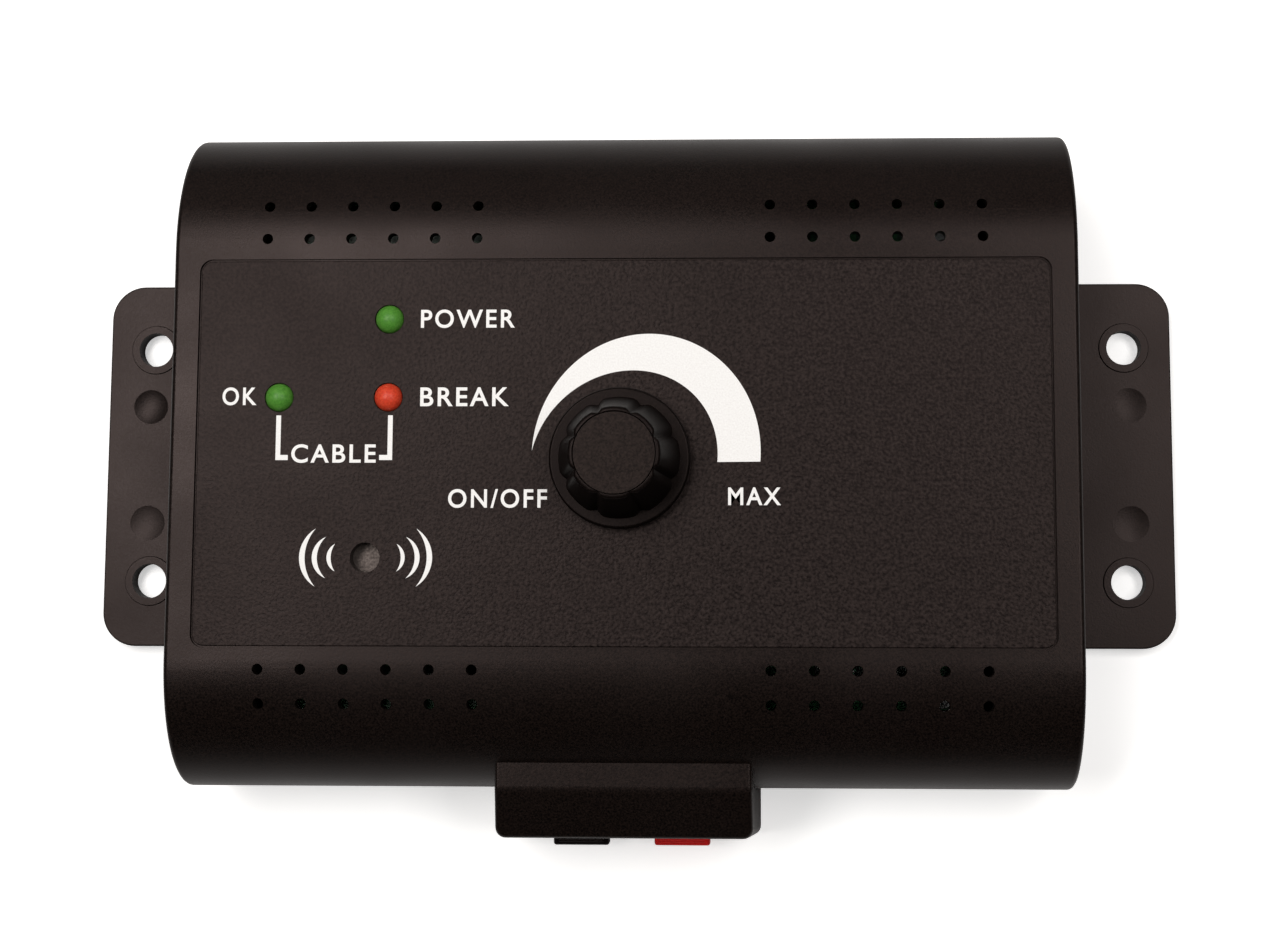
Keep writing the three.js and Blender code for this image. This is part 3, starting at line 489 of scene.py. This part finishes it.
# Fuse tube: clear glass, slightly uneven from drawing.
drawn_glass = new_material("drawn_glass_tube")
glass_coords = add_node(drawn_glass, "ShaderNodeTexCoord")
draw_lines = add_node(
    drawn_glass,
    "ShaderNodeTexNoise",
    {"Scale": 1 / (3 * MM), "Detail": 1.0},
    {"Vector": (glass_coords, "Object")},
)
glass_relief = add_node(
    drawn_glass, "ShaderNodeBump", {"Strength": 0.3, "Distance": 0.02 * MM}, {"Height": (draw_lines, "Fac")}
)
finish_material(
    drawn_glass,
    {"Base Color": linear("#e9f1ef"), "Roughness": 0.05, "IOR": 1.5, "Transmission Weight": 0.8},
    {"Normal": (glass_relief, "Normal")},
)
coat(["fuse"], drawn_glass)


def metal(name, dull, bright, roughness, grain, depth):
    """Bare or plated metal: grain and depth are the tooling marks' size, in millimetres."""
    material = new_material(name)
    coords = add_node(material, "ShaderNodeTexCoord")
    marks = add_node(
        material,
        "ShaderNodeTexNoise",
        {"Scale": 1 / (grain * MM), "Detail": 4.0},
        {"Vector": (coords, "Object")},
    )
    tone = add_node(
        material, "ShaderNodeValToRGB", {"stops": [(0.35, dull), (0.65, bright)]}, {"Fac": (marks, "Fac")}
    )
    gloss = add_node(
        material,
        "ShaderNodeMapRange",
        {"From Min": 0.3, "From Max": 0.7, "To Min": roughness + 0.06, "To Max": roughness - 0.06},
        {"Value": (marks, "Fac")},
    )
    relief = add_node(
        material, "ShaderNodeBump", {"Strength": 0.7, "Distance": depth * MM}, {"Height": (marks, "Fac")}
    )
    return finish_material(
        material,
        {"Metallic": 1.0},
        {"Base Color": (tone, "Color"), "Roughness": (gloss, "Result"), "Normal": (relief, "Normal")},
    )


# Zinc-plated steel: blue-white, cloudy, half bright.
zinc_plate = metal("zinc_plated_steel", "#a3a5a6", "#c3c4c2", 0.36, 0.7, 0.006)
# Bright nickel on clips, springs, pins and the nut.
nickel_plate = metal("bright_nickel_plate", "#b9b4a9", "#d2cec4", 0.22, 0.9, 0.004)
# Extruded aluminium of the heat sink and the turned control shaft.
bare_aluminium = metal("extruded_aluminium", "#9b9d9f", "#b9babb", 0.38, 0.5, 0.008)
# Turned free-cutting brass of the control's threaded bush.
turned_brass = metal("turned_brass", "#a5823a", "#c19d4e", 0.3, 0.4, 0.008)
coat(["sink_screw", "control_can", "control_washer"], zinc_plate)
coat(["board_screw_%d" % number for number in (1, 2, 3, 4)], zinc_plate)
coat(["crystal", "fuse_clip_1", "fuse_clip_2", "control_nut", "inlet_pin"], nickel_plate)
coat(["control_pin_1", "control_pin_2", "control_pin_3"], nickel_plate)
coat(["contact_spring_black", "contact_spring_red"], nickel_plate)
coat(["heat_sink", "control_shaft"], bare_aluminium)
coat(["control_bush"], turned_brass)

# ------------------------------------------------------------------ low-voltage inlet
# The socket for the supply's plug, a black moulding soldered under the board. Its round collar
# stands in the hole in the lower wall with a contact pin down its middle.

inlet_low, inlet_high = (Vector(corner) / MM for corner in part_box("inlet"))
INLET = ((inlet_low.x + inlet_high.x) / 2, 12.5)
socket = cube("inlet_socket", (inlet_low.x, -55.8, inlet_low.z), (inlet_high.x, inlet_high.y, inlet_high.z))
round_edges(socket, 0.5, 3, lambda a, b: abs(a.y - b.y) > 5)
combine(socket, [rod("collar", 4.5, INLET, inlet_low.y, -54.8, "y", 64)], "UNION")
combine(socket, [rod("bore", 3.15, INLET, inlet_low.y - 1, -47.5, "y", 48)], "DIFFERENCE")
soften(socket, 0.25, 3)
fit(socket, black_epoxy, "black_moulding", "root", "inlet")

# ------------------------------------------------------------------ spring terminal
# A two-way wire terminal in the lower wall: a black moulding with a flange held by two slotted
# screws, and two press levers, black and red, each with a round hole above it for the wire.

LEVER_X = 9.5
TERMINAL_SCREW_X = 19.4
PIVOT = (-57, 8)
terminal = cube("terminal_body", (-16.8, -BODY_Y, 3.6), (16.8, -46, 16.6))
flange = cube("flange", (-21.9, -61.9, 3), (21.9, -59.8, 17))
round_edges(flange, 1.2, 5, lambda a, b: abs(a.y - b.y) > 1)
combine(terminal, [flange], "UNION")
cuts = []
for x in (-LEVER_X, LEVER_X):
    cuts.append(cube("pocket", (x - 5.45, -60.3, 4.2), (x + 5.45, -50, 15.8)))
combine(terminal, cuts, "DIFFERENCE")
cuts = []
for x in (-LEVER_X, LEVER_X):
    cuts.append(cube("lever_way", (x - 5.45, -63, 3.4), (x + 5.45, -59.7, 9.4)))
    cuts.append(rod("wire_hole", 1.7, (x, 13), -63, -59.5, "y", 32))
    cuts.append(rod("pivot_hole", 1.08, PIVOT, x - 6.35, x + 6.35, "x", 24))
for x in (-TERMINAL_SCREW_X, TERMINAL_SCREW_X):
    cuts.append(rod("screw_hole", 1.4, (x, 10), -63, -59, "y", 24))
combine(terminal, cuts, "DIFFERENCE")
cones = []
for x in (-LEVER_X, LEVER_X):
    bpy.ops.object.select_all(action="DESELECT")
    bpy.ops.mesh.primitive_cone_add(
        vertices=32, radius1=3.0 * MM, radius2=1.2 * MM, depth=1.8 * MM,
        location=(x * MM, -61.9 * MM, 13 * MM), rotation=(-math.pi / 2, 0, 0),
    )
    cones.append(settle("countersink"))
combine(terminal, cones, "DIFFERENCE")
soften(terminal, 0.14)
fit(terminal, black_epoxy, "black_moulding", "root", "terminal_block")


def press_lever(name, x):
    """A thumb tab on a pivot bar, ribbed at its tip, with the clamping arm standing behind the hole."""
    lever = cube(name, (x - 5.25, -69, 5.75), (x + 5.25, -57, 8.6))
    pick(lever, "FACE", lambda face: all(p.y < -68.9 for p in places(face)))
    bpy.ops.mesh.extrude_region_move(TRANSFORM_OT_translate={"value": (0, -3 * MM, -0.75 * MM)})
    close()
    round_edges(lever, 0.5, 4, lambda a, b: max(a.y, b.y) < -57.5)
    ribs = []
    for y in (-71, -69.8, -68.6):
        ribs.append(rod("rib", 0.45, (y, 8.3 + 0.25 * (y + 69)), x - 4.2, x + 4.2, "x", 16))
    combine(lever, ribs, "UNION")
    combine(lever, [rod("hub", 2.0, PIVOT, x - 5.25, x + 5.25, "x", 32)], "UNION")
    combine(lever, [cube("arm", (x - 5.25, -58, 8), (x + 5.25, -56, 15))], "UNION")
    combine(lever, [rod("pivot", 1.0, PIVOT, x - 6.15, x + 6.15, "x", 24)], "UNION")
    soften(lever, 0.15)
    return lever


# Dyed ABS of the red lever: even and satin, the tool's fine grain just showing. Its red is set above the dye's
# own to make up for the hood's shadow over the lever: painted light.
red_abs_painted_light = moulded("red_lever_abs_painted_light", "#e01f1c", "#f02a28", 0.36, 0.3, 0.005, 0.3, (1, 1, 1, 1))
fit(press_lever("press_lever_black", -LEVER_X), black_epoxy, "black_moulding", "lever_black", "lever_black")
fit(press_lever("press_lever_red", LEVER_X), red_abs_painted_light, "red_moulding", "lever_red", "lever_red")


def slotted_screw(name, x):
    """A small pan-head screw lying along Y, slotted across its head."""
    screw = rod(name, 2.1, (x, 10), -63.4, -61.9, "y", 40)
    round_edges(screw, 0.5, 4, lambda a, b: max(a.y, b.y) < -63.3)
    combine(screw, [rod("shank", 1.15, (x, 10), -62, -57.5, "y", 24)], "UNION")
    combine(screw, [cube("slot", (x - 3, -64, 9.7), (x + 3, -62.6, 10.3))], "DIFFERENCE")
    soften(screw, 0.06)
    return screw


left_screw = slotted_screw("terminal_fixing_left", -TERMINAL_SCREW_X)
fit(left_screw, zinc_plate, "zinc", "root", "terminal_screw_left")
right_screw = slotted_screw("terminal_fixing_right", TERMINAL_SCREW_X)
fit(right_screw, zinc_plate, "zinc", "root", "terminal_screw_right")

# ------------------------------------------------------------------ lamps
# Three 5 mm lamps, two green and one red, of tinted diffusing epoxy cast round their two legs.
# They stand on spacers on the board and come through the panel up to their domes.


def lamp_epoxy(name, deep, clear):
    """Epoxy full of fine diffusing powder: light goes into it a little way and comes back tinted."""
    material = new_material(name)
    coords = add_node(material, "ShaderNodeTexCoord")
    powder = add_node(
        material,
        "ShaderNodeTexNoise",
        {"Scale": 1 / (0.35 * MM), "Detail": 2.0},
        {"Vector": (coords, "Object")},
    )
    tone = add_node(
        material, "ShaderNodeValToRGB", {"stops": [(0.35, deep), (0.65, clear)]}, {"Fac": (powder, "Fac")}
    )
    relief = add_node(
        material, "ShaderNodeBump", {"Strength": 0.4, "Distance": 0.006 * MM}, {"Height": (powder, "Fac")}
    )
    return finish_material(
        material,
        {
            "Roughness": 0.42,
            "IOR": 1.45,
            "Specular IOR Level": 0.3,
            "Subsurface Weight": 0.5,
            "Subsurface Radius": (1, 1, 1),
            "Subsurface Scale": 1.2 * MM,
        },
        {"Base Color": (tone, "Color"), "Normal": (relief, "Normal")},
    )


green_epoxy = lamp_epoxy("green_diffused_epoxy", "#447f2a", "#5a963a")
red_epoxy = lamp_epoxy("red_diffused_epoxy", "#c63c22", "#dc4e32")
LAMP_RADIUS = 2.5
DOME_Z = 39.2


def lamp(node_name, piece_name, material, slot):
    """Dome, barrel and foot flange from one ball, with two flat legs down to the board."""
    low, high = (Vector(corner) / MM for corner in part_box(node_name))
    x, y = (low.x + high.x) / 2, (low.y + high.y) / 2
    bpy.ops.object.select_all(action="DESELECT")
    bpy.ops.mesh.primitive_uv_sphere_add(
        segments=48, ring_count=24, radius=LAMP_RADIUS * MM, location=(x * MM, y * MM, DOME_Z * MM)
    )
    body = settle(piece_name)
    slice_off(body, (0, 0, DOME_Z), (0, 0, -1))
    centre = (x * MM, y * MM, DOME_Z * MM)
    pick(body, "FACE", lambda face: face.normal.z < -0.9)
    bpy.ops.mesh.extrude_region_move(TRANSFORM_OT_translate={"value": (0, 0, -4.4 * MM)})
    bpy.ops.mesh.extrude_region_move(TRANSFORM_OT_translate={"value": (0, 0, 0)})
    bpy.ops.transform.resize(value=(1.16, 1.16, 1), center_override=centre)
    bpy.ops.mesh.extrude_region_move(TRANSFORM_OT_translate={"value": (0, 0, -1 * MM)})
    close()
    soften(body, 0.08)
    fit(body, material, slot, "root", node_name)
    for suffix, leg_x in (("_leg_left", x - 1.27), ("_leg_right", x + 1.27)):
        foot = (leg_x - 0.25, y - 0.25, low.z)
        leg = cube(piece_name + suffix, foot, (leg_x + 0.25, y + 0.25, 33.8))
        round_edges(leg, 0.08, 2, upright)
        soften(leg, 0)
        fit(leg, nickel_plate, "nickel", "root")


lamp("lamp_power", "power_lamp", green_epoxy, "green_lamp")
lamp("lamp_ok", "ok_lamp", green_epoxy, "green_lamp")
lamp("lamp_break", "break_lamp", red_epoxy, "red_lamp")

# ------------------------------------------------------------------ buzzer
# A round buzzer under the sound hole: a black can with a shallow well, and its thin metal
# diaphragm showing at the bottom of the hole.

can_low, can_high = (Vector(corner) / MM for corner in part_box("buzzer"))
SOUND = ((can_low.x + can_high.x) / 2, (can_low.y + can_high.y) / 2)
WELL_FLOOR = 36
buzzer_can = rod("buzzer_can", 7.0, SOUND, 28, can_high.z, sides=64)
pick(buzzer_can, "FACE", lambda face: face.normal.z > 0.9)
bpy.ops.mesh.inset(thickness=1.6 * MM)
bpy.ops.mesh.extrude_region_move(TRANSFORM_OT_translate={"value": (0, 0, (WELL_FLOOR - can_high.z) * MM)})
close()


def on_rim(corner):
    """Whether a corner of the can lies on its upper outer edge."""
    return corner.z > 36.7 and (corner.xy - Vector(SOUND)).length > 6.5


round_edges(buzzer_can, 0.4, 3, lambda a, b: on_rim(a) and on_rim(b))
pins = []
for side in (-3.8, 3.8):
    pins.append(rod("pin", 0.4, (SOUND[0] + side, SOUND[1]), can_low.z, 28.5, sides=16))
combine(buzzer_can, pins, "UNION")
soften(buzzer_can, 0.08)
fit(buzzer_can, black_epoxy, "black_moulding", "root", "buzzer")
# Diaphragm: thin rolled aluminium, dulled by handling.
rolled_sheet = metal("rolled_aluminium_sheet", "#4e4744", "#625a56", 0.6, 0.4, 0.006)
coat(["buzzer_disc"], rolled_sheet)

# ------------------------------------------------------------------ front case
# The bull-nosed cover, in the same black ABS: flat in front, with a quarter ellipse down to the
# parting line above and below. Vent holes, the panel's recess and the terminal hood are part of it.

NOSE_RUN = 23.7
FRONT = 40.0
NOSE_FOOT = PARTING + 0.15


def nose(name, inset, low, shorter=0.0):
    """The cover's form, or its inside when inset by the wall's thickness."""
    run, drop = NOSE_RUN - inset, FRONT - NOSE_FOOT - inset
    half = BODY_X - inset - shorter
    form = cube(name, (-half, -BODY_Y + inset, low), (half, BODY_Y - inset, NOSE_FOOT + run))
    round_edges(form, run, 48, lambda a, b: min(a.z, b.z) > NOSE_FOOT + 1 and abs(a.x - b.x) > 1)
    pick(form, "VERT", lambda corner: corner.co.z > (NOSE_FOOT + 0.001) * MM)
    bpy.ops.transform.resize(value=(1, 1, drop / run), center_override=(0, 0, NOSE_FOOT * MM))
    close()
    return form


END_ROUND = 1.0
ROUND_STEPS = 4
front_case = nose("front_case", 0.0, 14.0, END_ROUND)
for side in (-1, 1):
    pick(front_case, "FACE", lambda face: face.normal.x * side > 0.9)
    for step in range(ROUND_STEPS):
        start, stop = (math.radians(90 * count / ROUND_STEPS) for count in (step, step + 1))
        narrower = END_ROUND * (math.cos(start) - math.cos(stop))
        further = END_ROUND * (math.sin(stop) - math.sin(start))
        bpy.ops.mesh.inset(thickness=narrower * MM, depth=further * MM)
    close()

# The hood: a flat top off the nose, a roof falling 20 degrees, and drafted cheeks and front.
HOOD_FOOT_X = 24.3
HOOD_TOP_X = 22.7
HOOD_TOP = 32.8
hood = cube("hood", (-HOOD_FOOT_X, -70.5, 3), (HOOD_FOOT_X, -50, HOOD_TOP))
pick(hood, "VERT", lambda corner: corner.co.z > 32 * MM)
bpy.ops.transform.resize(value=(HOOD_TOP_X / HOOD_FOOT_X, 1, 1), center_override=(0, 0, 0))
close()
pick(hood, "VERT", lambda corner: corner.co.z > 32 * MM and corner.co.y < -60 * MM)
bpy.ops.transform.translate(value=(0, 2.9 * MM, 0))
close()
round_edges(hood, 1.8, 6, lambda a, b: abs(a.z - b.z) > 10 and max(a.y, b.y) < -60)
slice_off(hood, (0, -59.15, HOOD_TOP), Vector((0, -2.75, 7.5)).normalized())
round_edges(hood, 0.7, 4, lambda a, b: min(a.y, b.y) < -55 and min(a.z, b.z) > 29)
combine(front_case, [hood], "UNION")
combine(front_case, [cube("below", (-90, -60.1, 0), (90, 70, PARTING))], "DIFFERENCE")

core = nose("core", WALL, 10.0)
combine(core, [rod("post", 3.2, place, 0, 50) for place in POSTS], "DIFFERENCE")
combine(core, [cube("panel_boss", (-75.5, -34.3, 37.1), (75.5, 34.3, 50))], "DIFFERENCE")
combine(front_case, [core], "DIFFERENCE")
bay = cube("bay", (-22.3, -75, 0), (22.3, -60.0, 17.2))
combine(bay, [cube("upper_bay", (-20.9, -75, 10), (20.9, -60.0, 27.4))], "UNION")
combine(front_case, [bay], "DIFFERENCE")
recess = cube("recess", (-75.5, -34.3, 39.5), (75.5, 34.3, 42))
round_edges(recess, 2.3, 8, upright)
combine(front_case, [recess], "DIFFERENCE")
vents = []
for y in (-44, -38, 38, 44):
    for side in (-1, 1):
        for count in range(6):
            vents.append(rod("vent", 0.95, (side * (26 + 7.5 * count), y), 30, 42, sides=24))
LAMPS = [(-41.4, 23.5), (-60.8, 9.6), (-41.4, 9.6)]
LAMP_HOLE = 2.57
SOUND_HOLE = 2.6
SHAFT_HOLE = 3.7
KNOB = (-0.3, -1.25)
through = [rod("lamp_hole", LAMP_HOLE, place, 30, 42) for place in LAMPS]
through.append(rod("sound_hole", SOUND_HOLE, SOUND, 30, 42))
through.append(rod("shaft_hole", SHAFT_HOLE, KNOB, 30, 42))
combine(front_case, vents + through, "DIFFERENCE")
combine(front_case, [rod("screw_way", 1.5, place, 10, 31, sides=24) for place in POSTS], "DIFFERENCE")
soften(front_case, 0.12)
fit(front_case, case_abs, "case_plastic", "root", "top_shell")

# ------------------------------------------------------------------ panel film and its print
# A polycarbonate film, coarse matt on its face, stuck in the recess. Its words, brackets, sound
# arcs and tapered level mark are screen printed in white ink.

film = cube("panel_sheet", (-75.2, -34.0, 39.5), (75.2, 34.0, 39.85))
round_edges(film, 2.0, 8, upright)
round_edges(film, 0.2, 4, lambda a, b: min(a.z, b.z) > 39.84)
holes = [rod("lamp_hole", LAMP_HOLE, place, 30, 42) for place in LAMPS]
holes.append(rod("sound_hole", SOUND_HOLE, SOUND, 30, 42))
holes.append(rod("shaft_hole", SHAFT_HOLE, KNOB, 30, 42))
combine(film, holes, "DIFFERENCE")
soften(film, 0.05)
# Matt-embossed polycarbonate: a coarser, flatter grain than the case.
film_grain = moulded("matt_embossed_polycarbonate", "#050303", "#2a2321", 0.42, 0.54, 0.08, 0.12)
fit(film, film_grain, "panel_film", "root", "panel_film")

# Screen ink: opaque white, dry, a hair thicker than the weave it went through.
white_ink = new_material("white_screen_ink")
ink_coords = add_node(white_ink, "ShaderNodeTexCoord")
mesh_marks = add_node(
    white_ink,
    "ShaderNodeTexNoise",
    {"Scale": 1 / (0.3 * MM), "Detail": 2.0},
    {"Vector": (ink_coords, "Object")},
)
ink_tone = add_node(
    white_ink,
    "ShaderNodeValToRGB",
    {"stops": [(0.3, "#efeeec"), (0.7, "#fafaf8")]},
    {"Fac": (mesh_marks, "Fac")},
)
ink_relief = add_node(
    white_ink, "ShaderNodeBump", {"Strength": 0.5, "Distance": 0.006 * MM}, {"Height": (mesh_marks, "Fac")}
)
finish_material(
    white_ink,
    {"Roughness": 0.6, "IOR": 1.45},
    {"Base Color": (ink_tone, "Color"), "Normal": (ink_relief, "Normal")},
)
INK_LOW, INK_TOP = 39.85, 39.88


def legend(name, word, left, right, low, high):
    """A word in plain bold capitals, fitted to the width and height it is printed at."""
    bpy.ops.object.select_all(action="DESELECT")
    bpy.ops.object.text_add(location=(0, 0, 0))
    text = bpy.context.object
    text.data.body = word
    text.data.extrude = 0.02
    text.data.offset = 0.016
    text.data.space_character = 1.2
    text.data.resolution_u = 8
    bpy.ops.object.convert(target="MESH")
    text = bpy.context.object
    spans = [(min(c), max(c)) for c in zip(*(v.co for v in text.data.vertices))]
    targets = [(left, right), (low, high), (INK_LOW, INK_TOP)]
    text.scale = [(b - a) * MM / (top - base) for (a, b), (base, top) in zip(targets, spans)]
    text.location = [a * MM - base * k for (a, b), (base, top), k in zip(targets, spans, text.scale)]
    settle(name)
    soften(text, 0)
    fit(text, white_ink, "panel_film", "root")


legend("word_power", "POWER", -35.8, -19.1, 21.9, 25.2)
legend("word_ok", "OK", -70.9, -64.8, 8.2, 11.4)
legend("word_break", "BREAK", -35.7, -20.0, 8.0, 11.35)
legend("word_cable", "CABLE", -58.4, -43.4, -2.0, 1.3)
legend("word_on_off", "ON/OFF", -30.5, -13.1, -9.9, -6.6)
legend("word_max", "MAX", 18.6, 27.8, -9.4, -6.3)


def bracket(name, outer, inner, foot):
    """A printed line down from a lamp, turned in towards the word at its foot."""
    low, high = sorted((outer, inner))
    line = cube(name, (low, -1.5, INK_LOW), (high, 6.4, INK_TOP))
    low, high = sorted((outer, foot))
    combine(line, [cube("foot", (low, -1.5, INK_LOW), (high, -0.6, INK_TOP))], "UNION")
    soften(line, 0)
    fit(line, white_ink, "panel_film", "root")


bracket("bracket_left", -61.2, -60.35, -59.0)
bracket("bracket_right", -40.5, -41.35, -42.8)


def disc(name, centre, radius, high=INK_TOP, low=INK_LOW, squash=1.0, turn=0.0):
    """A thin round or oval disc: squash is its second radius over its first, turned by an angle."""
    bpy.ops.object.select_all(action="DESELECT")
    bpy.ops.mesh.primitive_cylinder_add(
        vertices=192,
        radius=radius * MM,
        depth=(high - low) * MM,
        location=(centre[0] * MM, centre[1] * MM, (high + low) / 2 * MM),
        rotation=(0, 0, turn),
        scale=(1, squash, 1),
    )
    return settle(name)


def crescent(name, middle, reach, half_height, side, stroke):
    """A printed sound mark: what one disc leaves of another that crosses it at two points."""
    back, hollow = middle - side * -stroke, middle + side * -stroke
    tip = middle - side * reach
    rounds = []
    for edge in (back, hollow):
        sag = abs(edge - tip)
        radius = (half_height**2 + sag**2) / (2 * sag)
        rounds.append((radius, edge - side * radius))
    piece = disc(name, (rounds[0][1], SOUND[1]), rounds[0][0])
    inside = disc("inside", (rounds[1][1], SOUND[1]), rounds[1][0], INK_TOP + 1, INK_LOW - 1)
    combine(piece, [inside], "DIFFERENCE")
    soften(piece, 0)
    fit(piece, white_ink, "panel_film", "root")


crescent("sound_mark_left_outer", -56.1, 2.35, 5.05, -1, 0.49)
crescent("sound_mark_left_middle", -53.9, 2.0, 3.6, -1, 0.45)
crescent("sound_mark_left_inner", -51.38, 1.1, 2.4, -1, 0.37)
crescent("sound_mark_right_inner", -38.32, 1.1, 2.4, 1, 0.35)
crescent("sound_mark_right_middle", -35.78, 2.0, 3.6, 1, 0.43)
crescent("sound_mark_right_outer", -33.62, 2.35, 5.05, 1, 0.48)

level_mark = disc("level_mark", (4.208, -0.565), 21.394, squash=20.031 / 21.394, turn=1.370)
hollow = disc("hollow", (0.227, -2.136), 17.313, 45, 35, squash=15.633 / 17.313, turn=0.751)
combine(level_mark, [hollow], "DIFFERENCE")
slice_off(level_mark, (0, -1.82, 0), (0, -1, 0))
pick(level_mark, "FACE", lambda face: all(p.x < 0 and p.y < 1.5 for p in places(face)))
bpy.ops.mesh.delete(type="FACE")
close()
soften(level_mark, 0)
fit(level_mark, white_ink, "panel_film", "root")

# ------------------------------------------------------------------ knob
# A black knob pushed on the control's shaft: a flat skirt, a tapering grip with eight broad
# lobes, and a separate matt cap let into its top.

knob_low, knob_high = (Vector(corner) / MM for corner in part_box("knob"))
KNOB = ((knob_low.x + knob_high.x) / 2, (knob_low.y + knob_high.y) / 2)
SKIRT_TOP = 42.5
knob = rod("knob_grip", 12.35, KNOB, knob_low.z, SKIRT_TOP, sides=128)
round_edges(knob, 0.5, 4, lambda a, b: min(a.z, b.z) > SKIRT_TOP - 0.01)
grip = rod("grip", 10.7, KNOB, SKIRT_TOP - 0.5, knob_high.z, sides=128)
axis = (KNOB[0] * MM, KNOB[1] * MM, 0)
pick(grip, "VERT", lambda corner: corner.co.z > 50 * MM)
bpy.ops.transform.resize(value=(0.724, 0.724, 1), center_override=axis)
close()


def near_notch(corner, spread):
    """Whether a corner of the grip lies within this many degrees of one of the eight notches."""
    angle = math.degrees(math.atan2(corner.co.y - axis[1], corner.co.x - axis[0]))
    return abs((angle % 45) - 22.5) < spread


for spread, shrink in ((6.5, 0.985), (3.5, 0.97), (1.5, 0.97)):
    pick(grip, "VERT", lambda corner: near_notch(corner, spread))
    bpy.ops.transform.resize(value=(shrink, shrink, 1), center_override=axis)
    close()
round_edges(grip, 0.5, 4, lambda a, b: min(a.z, b.z) > knob_high.z - 0.1)
combine(knob, [grip], "UNION")
combine(knob, [rod("cap_seat", 7.05, KNOB, knob_high.z - 1.2, knob_high.z + 1, sides=96)], "DIFFERENCE")
combine(knob, [rod("nut_room", 8.0, KNOB, knob_low.z - 1, 45, sides=64)], "DIFFERENCE")
combine(knob, [rod("shaft_room", 3.05, KNOB, knob_low.z - 1, 52.6, sides=48)], "DIFFERENCE")
soften(knob, 0.04)
# Knob ABS: finer and smoother than the case, so its flanks catch small soft lights. Its black is set darker
# than the cap's so that the grip's flanks show painted shade.
knob_abs_painted_shade = moulded("fine_satin_black_abs_painted_shade", "#030202", "#120d0b", 0.4, 0.3, 0.014, 0.1)
fit(knob, knob_abs_painted_shade, "knob_plastic", "knob", "knob")

cap = rod("knob_top_cap", 6.9, KNOB, knob_high.z - 1.2, knob_high.z, sides=96)
round_edges(cap, 0.06, 2, lambda a, b: min(a.z, b.z) > knob_high.z - 0.01)
soften(cap, 0)
cap_abs = moulded("matt_black_cap_abs", "#050403", "#241d1a", 0.42, 0.4, 0.025, 0.11)
fit(cap, cap_abs, "knob_plastic", "knob", "knob_cap")

# ------------------------------------------------------------------ case screws
# Four zinc-plated pan-head screws, driven up from the back through deep counterbores.

for number, (x, y) in enumerate(POSTS, 1):
    screw = rod("case_fixing_%d" % number, 2.8, (x, y), 9.8, 12, sides=48)
    round_edges(screw, 0.9, 5, lambda a, b: max(a.z, b.z) < 9.9)
    cross = [cube("cross", (x - 1.6, y - 0.35, 9), (x + 1.6, y + 0.35, 10.9))]
    combine(screw, [rod("shank", 1.4, (x, y), 11.9, 29, sides=24)], "UNION")
    combine(cross[0], [cube("cross", (x - 0.35, y - 1.6, 9), (x + 0.35, y + 1.6, 10.9))], "UNION")
    combine(screw, cross, "DIFFERENCE")
    soften(screw, 0.05)
    fit(screw, zinc_plate, "zinc", "root", "case_screw_%d" % number)
